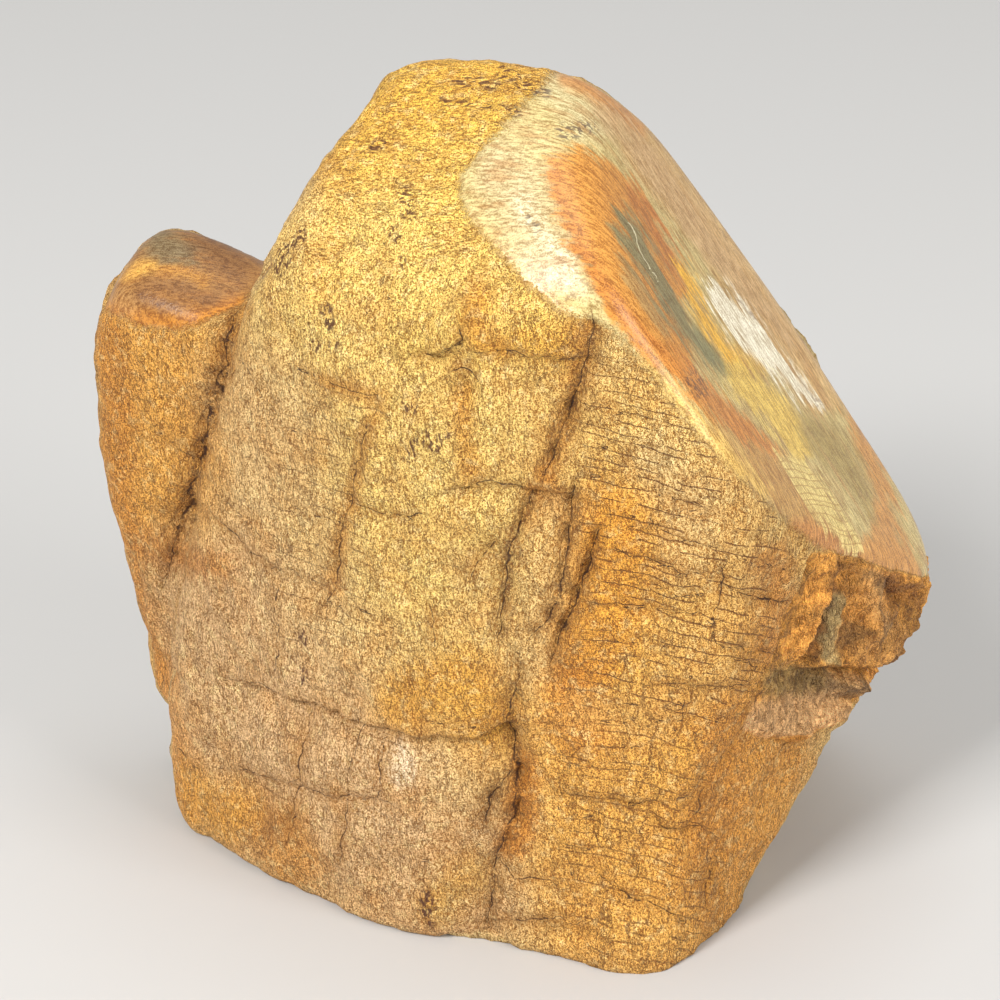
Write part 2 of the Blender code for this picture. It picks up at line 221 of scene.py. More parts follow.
def on_plain_form(mesh):
    """Every point of the mesh, moved onto the plain form."""
    spots = np.empty(len(mesh.vertices) * 3)
    mesh.vertices.foreach_get("co", spots)
    spots = spots.reshape(-1, 3)
    for _ in range(4):
        spots -= outward(spots) * stone(spots)[:, None]
    return spots


place = on_plain_form(skin_mesh)
print("skin points", len(place), "faces", len(skin_mesh.polygons))

# %% [markdown]
# ## Furrows and cracks
# Wood shrinks along the grain and across it as it turns to stone, so the rind is cut by
# deep furrows that run with the grain, by cracks across it, and by hairlines.
# On the side that the photograph shows, a route is a list of its pixels.

# %% Routes of the furrows and cracks
FURROWS = {
    "main, upper": [(590, 300), (592, 332), (586, 358), (575, 395), (561, 432), (549, 470), (538, 486)],
    "main, left strand": [(536, 490), (521, 520), (511, 548), (503, 585), (499, 640)],
    "main, right strand": [(575, 478), (570, 505), (566, 545), (560, 590), (548, 620), (528, 640)],
    "beside the orange": [(600, 530), (592, 556), (576, 600), (564, 632), (549, 664)],
    "main, lower": [(521, 648), (515, 690), (508, 722), (512, 760), (516, 800), (503, 838),
                    (494, 868), (488, 900), (484, 940)],
    "into the foot": [(480, 838), (490, 800), (506, 775)],
    "shoulder seam": [(240, 310), (228, 345), (217, 385), (208, 412), (203, 440), (196, 470),
                      (186, 505), (177, 540), (168, 585)],
}
CRACKS = {
    "upper, left": [(400, 351), (421, 355), (440, 353), (453, 346), (466, 341)],
    "upper, right": [(472, 351), (504, 352), (530, 357), (556, 361), (584, 357)],
    "arched pit": [(449, 382), (452, 373), (463, 368), (473, 372), (478, 381)],
    "knob": [(471, 303), (468, 322), (463, 338), (455, 346)],
    "middle": [(443, 493), (462, 489), (480, 484), (494, 482), (521, 487), (545, 492), (569, 499)],
    "far left, across": [(322, 378), (341, 387), (358, 393), (380, 397)],
    "far left, down": [(379, 398), (371, 424), (364, 446), (356, 470), (350, 504), (341, 533),
                       (337, 560), (332, 590), (324, 604)],
    "left of the middle": [(350, 504), (365, 509), (380, 515), (402, 517), (424, 516)],
    "long diagonal": [(204, 500), (222, 522), (238, 543), (258, 558), (279, 569)],
    "big ledge": [(246, 682), (264, 687), (282, 695), (300, 702), (316, 703), (333, 713),
                  (358, 722), (383, 731), (415, 736), (452, 737), (480, 737), (500, 728)],
    "low ledge": [(236, 768), (252, 769), (268, 778), (284, 782), (298, 779), (306, 786),
                  (345, 796), (379, 801), (398, 808)],
    "down, first": [(306, 704), (305, 730), (301, 755), (300, 785), (294, 812), (289, 840)],
    "down, second": [(347, 796), (345, 830), (341, 865)],
    "down, third": [(383, 732), (379, 760), (380, 785), (377, 800)],
    "between plates": [(497, 532), (490, 550), (476, 562), (470, 578)],
    "dark flecks": [(430, 603), (432, 618), (437, 642)],
    "right, first": [(655, 494), (680, 500), (704, 507)],
    "right, second": [(628, 528), (644, 530), (652, 526), (662, 533), (690, 542), (722, 548),
                      (730, 565)],
    "right, third": [(595, 541), (622, 550), (640, 556), (682, 567), (712, 574)],
    "right, fourth": [(590, 598), (640, 606), (678, 612), (713, 618)],
    "right, fifth": [(712, 640), (735, 647), (760, 652), (783, 653)],
    "right, sixth": [(726, 656), (750, 664), (772, 668)],
    "right, seventh": [(640, 683), (680, 683), (720, 688), (760, 685)],
    "right, eighth": [(725, 585), (741, 592), (765, 600), (790, 601)],
    "right, down": [(727, 550), (722, 585), (713, 618), (711, 640)],
    "lower right, across": [(560, 795), (600, 800), (640, 806), (653, 803)],
    "lower right, bay": [(652, 820), (665, 830), (690, 833), (705, 830), (722, 840)],
    "lower right, down": [(712, 782), (706, 800), (700, 822)],
    "foot right": [(594, 874), (610, 886), (640, 897), (665, 910), (685, 917)],
    "foot right, down": [(716, 862), (706, 884), (701, 905)],
    "foot middle": [(492, 926), (510, 922), (540, 922), (560, 917), (590, 925)],
    "notch": [(500, 866), (512, 880), (540, 883), (556, 886)],
    "side line": [(762, 690), (752, 712), (737, 742), (722, 775)],
}
HAIRLINES = {
    "beside the seam": [
        [(150, 420), (172, 440), (196, 458)], [(235, 345), (224, 338), (212, 330)],
        [(232, 356), (250, 375), (268, 400), (290, 430), (300, 440)],
        [(196, 480), (222, 500), (246, 520), (270, 545)]],
    "after the long diagonal": [
        [(279, 569), (296, 574), (312, 586), (326, 592)],
        [(280, 570), (277, 610), (280, 650), (275, 680)]],
    "left": [
        [(293, 455), (318, 460), (340, 466), (358, 469)], [(291, 503), (316, 517), (345, 522)],
        [(297, 364), (312, 372), (324, 378)], [(295, 597), (322, 604), (350, 610), (384, 620)],
        [(339, 436), (352, 438), (366, 441)]],
    "upper": [
        [(384, 232), (382, 262), (385, 292), (400, 306)], [(368, 300), (362, 322), (352, 346)]],
    "ledges and left edge": [
        [(382, 700), (404, 715), (430, 722), (470, 724), (496, 720)],
        [(176, 745), (192, 760), (212, 775)], [(172, 655), (163, 668), (158, 690)],
        [(362, 690), (359, 720), (354, 760), (348, 795)]],
    "middle": [
        [(512, 400), (505, 440), (500, 470)], [(520, 395), (526, 386), (540, 380), (548, 372)]],
    "right": [
        [(585, 404), (610, 411), (634, 417)], [(600, 450), (622, 455), (640, 447), (668, 452)],
        [(580, 478), (612, 481), (645, 488)], [(600, 515), (630, 518), (660, 522)],
        [(600, 566), (640, 578), (676, 590), (710, 596)],
        [(590, 628), (620, 640), (660, 646), (690, 640)], [(715, 624), (740, 631), (765, 638)],
        [(730, 555), (757, 562), (782, 570)], [(660, 506), (690, 514), (722, 520)],
        [(590, 700), (620, 705), (660, 708)], [(600, 722), (640, 728), (668, 722)],
        [(690, 718), (720, 720), (745, 714)],
        [(690, 640), (697, 665), (688, 690), (680, 720), (668, 760)],
        [(596, 746), (630, 748), (668, 745)], [(668, 690), (700, 748), (720, 748)],
        [(572, 745), (568, 770), (560, 795), (556, 812)], [(622, 770), (616, 800)],
        [(668, 800), (690, 797), (704, 797)]],
    "foot": [
        [(556, 812), (590, 820), (612, 826)], [(545, 842), (580, 850), (600, 856)],
        [(668, 850), (690, 858), (730, 858), (762, 856)], [(545, 862), (544, 880)],
        [(574, 864), (570, 894)], [(410, 862), (440, 860), (470, 852), (486, 848)],
        [(638, 860), (634, 880)], [(768, 845), (760, 866)]],
    "beside the break": [
        [(800, 745), (792, 758), (808, 758)], [(795, 500), (808, 520), (816, 535)],
        [(898, 528), (890, 545), (888, 562)]],
}
print("routes", len(FURROWS), len(CRACKS), sum(len(group) for group in HAIRLINES.values()))

# %% [markdown]
# ## Finer squares where the stone is cut up
# Grooves and facets need points closer together than the calm flats do. Only the squares
# near a furrow, a crack or the broken corner are split in four, which keeps the whole
# piece light.

# %% Distance along routes
MM_PER_PIXEL = 0.215


def along(flat, route):
    """Signed distance to a route, height above it, and the share of the way along."""
    lengths = np.linalg.norm(np.diff(route, axis=0), axis=1)
    starts = np.concatenate(((0.0,), np.cumsum(lengths)))
    best = np.full(len(flat), 1e9)
    signed, above, share = np.zeros(len(flat)), np.zeros(len(flat)), np.zeros(len(flat))
    for index, (a, b) in enumerate(zip(route[:-1], route[1:])):
        way = b - a
        t = np.clip(((flat - a) @ way) / (way @ way), 0.0, 1.0)
        gap = flat - (a + t[:, None] * way)
        distance = np.hypot(gap[:, 0], gap[:, 1])
        closer = distance < best
        best = np.where(closer, distance, best)
        side_of = np.sign(way[0] * gap[:, 1] - way[1] * gap[:, 0])
        signed = np.where(closer, distance * side_of, signed)
        above = np.where(closer, gap[:, 1], above)
        share = np.where(closer, (starts[index] + t * lengths[index]) / starts[-1], share)
    return signed, above, share


def route_on(side, route):
    """The route's points on that side's map, in millimetres."""
    route = np.array(route, dtype=float)
    return route * (MM_PER_PIXEL, -MM_PER_PIXEL) if side == "photo" else route


def picture_map(points):
    """The photograph's map of the points, in millimetres."""
    return in_picture(points) * (MM_PER_PIXEL, -MM_PER_PIXEL)


def inside_outline(flat, outline):
    """Distance inside a closed outline in millimetres, below zero outside it."""
    ring = np.concatenate((outline, outline[:1]))
    signed, _, _ = along(flat, ring)
    crossings = np.zeros(len(flat), dtype=int)
    for (x0, y0), (x1, y1) in zip(ring[:-1], ring[1:]):
        spans = (y0 > flat[:, 1]) != (y1 > flat[:, 1])
        with np.errstate(divide="ignore", invalid="ignore"):
            meets = flat[:, 0] < (x1 - x0) * (flat[:, 1] - y0) / (y1 - y0) + x0
        crossings += spans & meets
    return np.abs(signed) * np.where(crossings % 2 == 1, 1.0, -1.0)


# %% Split the squares of the cut-up places
BREAK_BEARING = 40
BREAK_EDGE = [(28, 98), (26, 89), (22, 83), (21.5, 76), (19, 70), (16, 57.5), (26, 50),
              (40, 41), (54, 40), (74, 42), (88, 56), (90, 68), (60, 80), (48, 88), (36, 95)]


def corner_map(points):
    """The points looked at from the broken corner's bearing, in millimetres."""
    turn = math.radians(BREAK_BEARING)
    moved = points + BOX_SHIFT
    across = moved[:, 0] * math.cos(turn) + moved[:, 1] * math.sin(turn)
    return np.stack((across, moved[:, 2]), axis=1) * 1000.0


def corner_faces(directions):
    """How squarely each direction faces the broken corner's bearing."""
    turn = math.radians(BREAK_BEARING)
    return directions[:, 0] * math.sin(turn) - directions[:, 1] * math.cos(turn)


normal = outward(place)
toward = -((place - EYE) * normal).sum(axis=1) > 0.0
flat_picture = picture_map(place)
busy = np.zeros(len(place), dtype=bool)
for reach, routes in ((2.4, FURROWS), (1.2, CRACKS)):
    for route in routes.values():
        way = route_on("photo", route)
        near = (flat_picture > way.min(0) - 3).all(1) & (flat_picture < way.max(0) + 3).all(1)
        chosen = np.flatnonzero(near & toward)
        busy[chosen[np.abs(along(flat_picture[chosen], way)[0]) < reach]] = True
at_corner = inside_outline(corner_map(place), np.array(BREAK_EDGE, dtype=float)) > -1.5
busy |= at_corner & (corner_faces(normal) > 0.0)
work = bmesh.new()
work.from_mesh(skin_mesh)
split = [edge for edge in work.edges if busy[edge.verts[0].index] and busy[edge.verts[1].index]]
bmesh.ops.subdivide_edges(work, edges=split, cuts=1, use_grid_fill=True, use_single_edge=True)
work.to_mesh(skin_mesh)
work.free()
place = on_plain_form(skin_mesh)
normal = outward(place)
count = len(place)
triangles = sum(len(face.vertices) - 2 for face in skin_mesh.polygons)
print("finer skin: points", count, "triangles", triangles)

# %% [markdown]
# ## Where each point is seen
# Cracks, ledges and colours are drawn as routes on flat maps. The photograph's own map
# covers the side that it shows. The hidden sides have maps of (across, up) in
# millimetres, and what is on them is guessed from the side that is seen.

# %% Flat maps of the stone's sides
def noise_at(points, size, seed=0.0, octaves=1, stretch=1.0):
    """Blender's noise at each point, its lumps about size metres wide."""
    move = Vector((seed, seed * 1.7, seed * 0.6))
    squeeze = np.array((1.0, 1.0, 1.0 / stretch)) / size
    if octaves == 1:
        return np.array([noise.noise(Vector(p) + move) for p in points * squeeze])
    return np.array([noise.fractal(Vector(p) + move, 1.0, 2.0, octaves)
                     for p in points * squeeze])


def wandering(size, seed_across, seed_up):
    """A shift on the maps, so that no drawn line stays straight."""
    return np.stack((noise_at(place, size, seed_across), noise_at(place, size, seed_up)), axis=1)


# Lines wander by up to a millimetre. The slow shift moves the edges of broad colours.
wander = wandering(0.0045, 3.0, 9.0) * 0.9
wander += wandering(0.0018, 5.0, 12.0) * 0.55
slow_wander = wandering(0.013, 21.0, 27.0)

field_place = place + BOX_SHIFT
pixels = in_picture(place)
picture_mm = picture_map(place)
toward_eye = -((place - EYE) / np.linalg.norm(place - EYE, axis=1, keepdims=True) * normal).sum(1)
seen = easing(toward_eye, 0.02, 0.16)
maps = {"photo": (picture_mm, seen)}
LOOKS = {"front": (0, -1), "back": (0, 1), "left": (-1, 0), "right": (1, 0)}
for side, look in LOOKS.items():
    across = field_place[:, 0] if side in ("front", "back") else field_place[:, 1]
    turned = easing(normal[:, 0] * look[0] + normal[:, 1] * look[1], 0.20, 0.50)
    maps[side] = (np.stack((across, place[:, 2]), axis=1) * 1000, turned)
corner_mm = corner_map(place)
corner_turned = easing(corner_faces(normal), 0.05, 0.25)
print("points on the photographed side", int((seen > 0.5).sum()))

# %% [markdown]
# ## Cracks of the hidden sides
# The photograph doesn't show the back, the ends and the right flank below, so they get
# cracks of the same kinds: a few long ones down the grain, joined by short ones across.
# A fixed seed gives the same stone each time.

# %% Grow cracks on the hidden sides
chance = np.random.default_rng(41)
HIDDEN_SIDES = {"back": (-72, 66, 6, 26), "left": (-30, 60, 5, 12), "right": (-34, 62, 5, 12)}
hidden_routes = []
for side, (low, high, downs, crossings) in HIDDEN_SIDES.items():
    for start in np.linspace(low, high, downs):
        across = start + chance.uniform(-6, 6)
        route = []
        for up in np.arange(168, -6, -11):
            across += chance.uniform(-2.6, 2.2)
            route.append((across, up + chance.uniform(-2, 2)))
        first = chance.integers(0, 7)
        hidden_routes.append((side, "furrow" if chance.random() < 0.4 else "crack", route[first:]))
    for _ in range(crossings):
        across, up = chance.uniform(low, high), chance.uniform(8, 165)
        route = [(across, up)]
        for _ in range(chance.integers(2, 5)):
            across += chance.uniform(5, 9)
            up += chance.uniform(-2.4, 1.2)
            route.append((across, up))
        hidden_routes.append((side, "crack" if chance.random() < 0.35 else "hairline", route))
print("hidden routes", len(hidden_routes))

# %% [markdown]
# ## Turning routes into grooves and lines
# A groove wider than the skin's squares is carved. The dark line in its bottom is thinner
# than a square, so each point stores its distance in half widths of the line, below zero
# on one side. The material draws the line where that number passes through zero, and so
# the line stays sharp.

# %% Distances to the cracks
KINDS = {
    # kind: groove depth, groove half width and line half width in mm, halo strength
    "furrow": (2.5, 2.2, 0.24, 1.0),
    "crack": (0.66, 0.85, 0.165, 0.85),
    "hairline": (0.20, 0.70, 0.105, 0.50),
}
# Beyond this distance from a line or an edge, in its own units, nothing changes any more.
FAR = 9.0
drawn = [("photo", "furrow", route) for route in FURROWS.values()]
drawn += [("photo", "crack", route) for route in CRACKS.values()]
drawn += [("photo", "hairline", route) for group in HAIRLINES.values() for route in group]
drawn += hidden_routes


def line_layers(routes):
    """Distance to the nearest line, groove, halo, and the painted shade and zone of furrows."""
    layers = {name: np.zeros(count) for name in ("groove", "halo", "shade", "zone")}
    layers["side"] = np.full(count, FAR)
    for side, kind, route in routes:
        deep, groove_half, line_half, strength = KINDS[kind]
        flat, faces = maps[side]
        faces = faces if side == "photo" else faces * (1.0 - seen)
        way = route_on(side, route)
        near = (flat > way.min(0) - 8).all(1) & (flat < way.max(0) + 8).all(1)
        chosen = np.flatnonzero(near & (faces > 0.05))
        if len(chosen) == 0:
            continue
        signed, _, share = along(flat[chosen] + wander[chosen], way)
        # Every line thins out to a quarter at its ends and is uneven on the way.
        taper = 0.25 + 0.75 * np.sqrt(np.sin(np.pi * np.clip(share, 0.0, 1.0)).clip(0.0))
        uneven = 0.75 + 0.6 * noise_at(place[chosen], 0.004, 31.0)
        ratio = signed / (line_half * taper * uneven.clip(0.35))
        nearest = layers["side"][chosen]
        layers["side"][chosen] = np.where(np.abs(ratio) < np.abs(nearest), ratio, nearest)
        deepness = deep * taper * uneven.clip(0.3) * faces[chosen]
        found = {"groove": deepness * np.exp(-(np.abs(signed) / (groove_half * taper)) ** 1.6),
                 "halo": strength * taper * np.exp(-(signed / (1.2 + deep)) ** 2)}
        if kind == "furrow":
            # Painted shade: a dark band along the bottom of each furrow.
            found["shade"] = taper * np.exp(-(signed / 1.5) ** 2) * faces[chosen]
            found["zone"] = taper * np.exp(-(signed / 4.2) ** 2) * faces[chosen]
        for name, values in found.items():
            layers[name][chosen] = np.maximum(layers[name][chosen], values)
    return layers


cracks = line_layers(drawn)
groove = cracks["groove"]
print("deepest groove in mm", round(float(groove.max()), 2))

# %% [markdown]
# ## Ledges, plates, hollows and lumps
# Where a crack runs across the grain, the rind below it often stands back as a ledge.
# Plates are the upright kind of step: they stand proud on the left of their route.

# %% Ledges and plates
LEDGES = {
    # name: side, drop in mm, how far below the route it comes out again in mm, route
    "big": ("photo", 2.1, 14, [(236, 681), (282, 695), (316, 704), (358, 722), (415, 736),
                               (480, 737), (505, 724)]),
    "low": ("photo", 0.8, 8, [(232, 767), (268, 778), (306, 786), (379, 801), (398, 808)]),
    "upper": ("photo", 1.0, 6, [(400, 351), (440, 353), (504, 352), (556, 361), (584, 357)]),
    "middle": ("photo", 1.2, 7, [(443, 493), (480, 484), (521, 487), (569, 499)]),
    "left": ("photo", 0.9, 8, [(204, 500), (238, 543), (279, 569), (312, 586)]),
    "lower right": ("photo", 1.0, 6, [(560, 795), (600, 800), (653, 803)]),
    "right, high": ("photo", 0.45, 4, [(600, 478), (645, 488), (704, 507), (740, 517)]),
    "right, second": ("photo", 0.5, 4, [(628, 529), (665, 533), (722, 548)]),
    "right, fourth": ("photo", 0.45, 4, [(590, 598), (640, 606), (713, 618)]),
    "right, seventh": ("photo", 0.5, 5, [(640, 683), (680, 683), (720, 688), (760, 685)]),
    "foot": ("photo", 1.2, 6, [(492, 926), (540, 922), (590, 925)]),
    "back, high": ("back", 1.6, 16, [(-62, 96), (-36, 90), (-18, 94)]),
    "back, middle": ("back", 2.0, 18, [(-20, 62), (6, 58), (34, 64), (56, 58)]),
    "back, low": ("back", 1.3, 12, [(-58, 34), (-40, 29), (-24, 32)]),
    "left side": ("left", 1.2, 14, [(12, 44), (28, 40), (48, 46)]),
    "right side": ("right", 1.6, 14, [(4, 40), (28, 44), (50, 38)]),
}
PLATES = {
    # name: height in mm, how far it runs out in mm, route with the plate on its left
    "knob": (1.8, 8, [(424, 354), (442, 353), (456, 346), (466, 334), (471, 318), (474, 298)]),
    "beside the main furrow": (1.2, 4.5, [(612, 374), (626, 366), (637, 350), (612, 318),
                                         (598, 318)]),
    "orange column": (1.5, 12, [(602, 520), (594, 556), (577, 600), (565, 632), (549, 664)]),
    "middle column": (1.1, 6, [(577, 478), (572, 505), (567, 545), (560, 590)]),
    "left of the gully": (1.4, 7, [(497, 870), (506, 835), (517, 800), (512, 760)]),
    "lobe over the seam": (1.2, 8, [(170, 580), (186, 505), (203, 440), (217, 385), (238, 312)]),
    "pale ridge": (1.0, 2.2, [(247, 656), (240, 640), (226, 612), (210, 590)]),
    "lower bay": (1.0, 5, [(652, 806), (655, 820), (668, 830), (690, 833)]),
}
stand_back = np.zeros(count)
for side, drop, reach, route in LEDGES.values():
    flat, faces = maps[side]
    signed, above, share = along(flat + wander * 0.6, route_on(side, route))
    below = np.clip(-above, 0.0, None)
    beyond = np.sqrt(np.clip(signed ** 2 - above ** 2, 0.0, None))
    step = easing(-above, -0.3, 0.8) * (1.0 - easing(below, 0.0, reach))
    stand_back += drop * step * (1.0 - easing(beyond, 0.0, 5.0)) * faces
for raised, reach, route in PLATES.values():
    signed, _, share = along(picture_mm + wander * 0.6, route_on("photo", route))
    ends = easing(share, 0.0, 0.12) * (1.0 - easing(share, 0.88, 1.0))
    lip = easing(signed, -0.4, 0.5) * (1.0 - easing(signed, 0.5, reach))
    stand_back -= raised * lip * ends * seen
print("ledges", len(LEDGES), "plates", len(PLATES))

# %% Hollows and lumps
SPOTS = {
    # name: side, place, radius in mm, depth in mm (a lump is negative)
    "arched pit": ("photo", (464, 391), 3.0, 2.6),
    "ragged knob": ("photo", (455, 322), 4.6, -1.8),
    "hollow of the middle": ("photo", (486, 556), 4.2, 2.2),
    "hollow beside the furrow": ("photo", (545, 515), 4.5, 1.8),
    "swelling above the ledge": ("photo", (432, 690), 14, -1.4),
    "swelling of the left": ("photo", (262, 480), 16, -0.8),
    "notch in the foot": ("front", (-4, 2), 7, 2.2),
    "toe of the foot": ("front", (31, 2), 15, -4.5),
    "hollow at the rim": ("photo", (530, 392), 3.0, 1.4),
    "knot on the back": ("back", (8, 112), 12, -3.0),
    "hollow beside the knot": ("back", (-2, 98), 8, 2.0),
}
for side, spot, radius, deep in SPOTS.values():
    flat, faces = maps[side]
    middle = np.array(spot) * (MM_PER_PIXEL, -MM_PER_PIXEL) if side == "photo" else np.array(spot)
    gap = np.linalg.norm(flat - middle, axis=1)
    stand_back += deep * np.exp(-(gap / radius) ** 2) * faces
print("spots", len(SPOTS))

# %% [markdown]
# ## The broken corner
# Quartz breaks into flat-sided wedges. The corner is drawn like a map with breaklines:
# every crest, cleft and edge is a line of points with a height, and flat triangles
# span between the lines. The solid has the same facets, with fewer triangles.

# %% Lines of the broken corner
BREAK_LINES = {
    # (across, up, height) in millimetres, looked at from the corner's bearing
    "edge of the rind": ((29, 98, 0), (28, 93, 0), (26, 89, 0), (23.5, 84, 0), (23, 78, 0),
                         (26, 70.5, 0)),
    "foot of the first wedge": ((31, 92, -0.9), (29, 84.5, -1.2), (27.5, 77, -0.9)),
    "crest of the first wedge": ((37.5, 92.5, 0.6), (37, 87, 1.2), (35, 81, 1.5),
                                 (33, 74.5, 1.3), (30, 70, 0.6)),
    "first cleft": ((41, 89, -2.6), (40, 85, -3.4), (38.5, 80, -3.8), (36.5, 72, -3.2),
                    (35, 67.5, -2.0)),
    "block, left": ((42.8, 80, -1.6), (41.5, 76, -1.2), (41.2, 67, -1.0)),
    "block, right": ((45.8, 79.5, -1.4), (45.5, 73, -0.9), (45, 65, -0.8)),
    "second cleft": ((47.5, 83.5, -2.4), (48.5, 77, -3.0), (49, 69.5, -2.8), (49.5, 63, -1.6)),
    "crest of the big wedge": ((53, 81, -0.6), (56.5, 74, 0.8), (59, 65.5, 1.4),
                               (61, 58, 1.0)),
    "hollow of the big wedge": ((60.5, 75.5, -2.6), (66, 69.5, -3.2), (70.5, 66, -2.4)),
    "outer crest": ((77, 65.5, 0.2), (77, 61, 1.0), (73, 55, 1.2)),
    "edge of the polish": ((35, 94.5, 0), (47, 87, 0), (59.5, 78.5, 0), (79, 67, 0),
                           (92, 68, 0)),
    "lower rim": ((28, 69.5, 0.2), (36, 65.5, 0.4), (50, 60, 0.6), (62, 54.5, 1.2),
                  (73, 50.5, 1.0)),
    "undercut": ((21.5, 70, 0), (27.5, 66.5, -3.6), (38, 61, -4.4), (49.5, 56.5, -4.2),
                 (62, 50.5, -3.8), (75, 46, -3.4)),
    "chip": ((50, 54, -1.6), (56, 51, 0.6), (61, 47.5, 0.8)),
    "back of the shelf": ((21.5, 62, -0.8), (34, 57, -2.6), (49, 49.5, -2.8), (60, 43.5, -3.0)),
    "edge of the shelf": ((17.5, 57.5, 0), (26.5, 52, 0.2), (39.5, 46, 0.3), (50.5, 43.5, -0.4),
                          (61, 37.5, -1.8)),
    "notch": ((26.5, 49.3, -1.8), (39.5, 42.3, -2.4), (48.5, 40.5, -2.6), (60, 33.5, -3.2)),
    "below the notch": ((22.5, 45, 0), (38, 34, -0.8), (47, 31, -1.6), (60, 24, -2.4),
                        (72, 22, -2.8)),
    "hollow of the flank": ((86, 60, -1.4), (85, 48, -3.6), (84, 36, -4.0), (83, 22, -2.6)),
    "outside": ((30, 20, 0), (50, 9, 0), (72, 5, 0), (92, 6, 0), (101, 22, 0), (105, 42, 0),
                (101, 60, 0)),
}
spots, creases = [], []
for line in BREAK_LINES.values():
    first = len(spots)
    spots.extend(line)
    creases.extend((index, index + 1) for index in range(first, len(spots) - 1))
_, _, faces_found, sources, _, _ = delaunay_2d_cdt(
    [Vector(spot[:2]) for spot in spots], creases, [], 0, 0.0001)
jagged = corner_mm + wander * 0.45
facets, facet_tone = np.zeros(count), np.zeros(count)
tones = np.random.default_rng(7).uniform(-1.0, 1.0, len(faces_found))
for corners, tone in zip(faces_found, tones):
    a, b, c = (np.array(spots[sources[corner][0]], dtype=float) for corner in corners)
    sides = np.array((b[:2] - a[:2], c[:2] - a[:2])).T
    if abs(np.linalg.det(sides)) < 1e-6:
        continue
    share = (jagged - a[:2]) @ np.linalg.inv(sides).T
    inside = (share >= 0.0).all(axis=1) & (share.sum(axis=1) <= 1.0)
    facets = np.where(inside, a[2] + share @ np.array((b[2] - a[2], c[2] - a[2])), facets)
    facet_tone = np.where(inside, tone, facet_tone)
facets *= corner_turned
print("facets", len(faces_found), "deepest in mm", round(float(facets.min()), 2))


# %% Flat splinters
def splinters(points, size, lean, edge):
    """Small flat facets that meet in steps, as broken quartz does."""
    height = np.zeros(len(points))
    for index, point in enumerate(points):
        spot = Vector(point) / size
        distances, seeds = noise.voronoi(spot)
        total, share = 0.0, 0.0
        for distance, seed in zip(distances, seeds):
            weight = math.exp((distances[0] - distance) / edge)
            total += weight * (spot - seed).dot(noise.cell_vector(seed * 5.3))
            share += weight
        height[index] = total / share * size * lean
    return height


ground_line = ground_face(place) - rough_stone(place)
break_mm = inside_outline(corner_mm + wander * 0.5, np.array(BREAK_EDGE, dtype=float))
break_mm = np.where(corner_turned > 0.3, break_mm, -FAR)
broken = easing(break_mm, -0.4, 0.6) * (1.0 - easing(ground_line, -0.0012, 0.0002))
in_break = np.flatnonzero(broken > 0.01)
knapped = np.zeros(count)
# size in metres, lean, and how soft the edges are, from broad splinters to fine ones
for size, lean_by, edge in ((0.0085, 0.20, 0.07), (0.0042, 0.26, 0.08), (0.0021, 0.32, 0.10)):
    knapped[in_break] += splinters(field_place[in_break], size, lean_by, edge) * 1000
print("points in the break", len(in_break))

# %% [markdown]
# ## Where the polish ends
# The grinding wheel left one long oval face. At its upper left it ran out over the dome,
# and the polish fades into the rind along a soft line that the photograph shows.

# %% Polished areas
POLISH_OUTLINE = [(560, 66), (545, 85), (520, 112), (484, 146), (462, 172), (460, 196), (474, 224),
                  (500, 254), (528, 284), (562, 312), (590, 318), (612, 330), (640, 356),
                  (668, 396), (700, 436), (732, 470), (764, 500), (796, 528), (830, 554),
                  (850, 562), (885, 572), (932, 592), (970, 560), (900, 300), (700, 60)]
SHOULDER_OUTLINE = [(96, 300), (112, 312), (142, 326), (175, 329), (198, 324), (225, 313),
                    (243, 304), (275, 262), (230, 220), (160, 210), (100, 270)]
# On the hidden side the shoulder's polish ends at this x, in metres.
SHOULDER_INNER_END = -0.045
in_photo = seen > 0.02
outline_mm = inside_outline(picture_mm + wander * 0.5, route_on("photo", POLISH_OUTLINE))
polish_mm = np.where(in_photo, outline_mm, ground_line * 1000 + 1.0).clip(-FAR, FAR)
top_bearing, top_tilt, top_out = SHOULDER_FLATS["top"]
shoulder_plane = (place - SHOULDER_HEART) @ facing(top_bearing, top_tilt) - top_out
shoulder_seen = inside_outline(picture_mm + wander * 0.5, route_on("photo", SHOULDER_OUTLINE))
shoulder_gap = hewn(place, SHOULDER_HEART, SHOULDER_FLATS, SHOULDER_ROUNDING) * 1000
on_its_top = np.minimum(2.4 - np.abs(shoulder_plane * 1000), 1.5 - shoulder_gap)
shoulder_hidden = np.where(place[:, 0] < SHOULDER_INNER_END, on_its_top, -FAR)
shoulder_mm = np.where(in_photo, shoulder_seen, shoulder_hidden).clip(-FAR, FAR)
smooth = easing(np.maximum(polish_mm, shoulder_mm), -1.2, 0.8) * (1.0 - broken)
print("polished points", int((smooth > 0.5).sum()))

# %% [markdown]
# ## The rind's own relief
# Weathered fossil wood still shows its fibres. The rind swells slowly over centimetres,
# is split into low plates, and is crumpled along its furrows.
# The polished faces stay smooth, with the faintest waviness from grinding by hand.

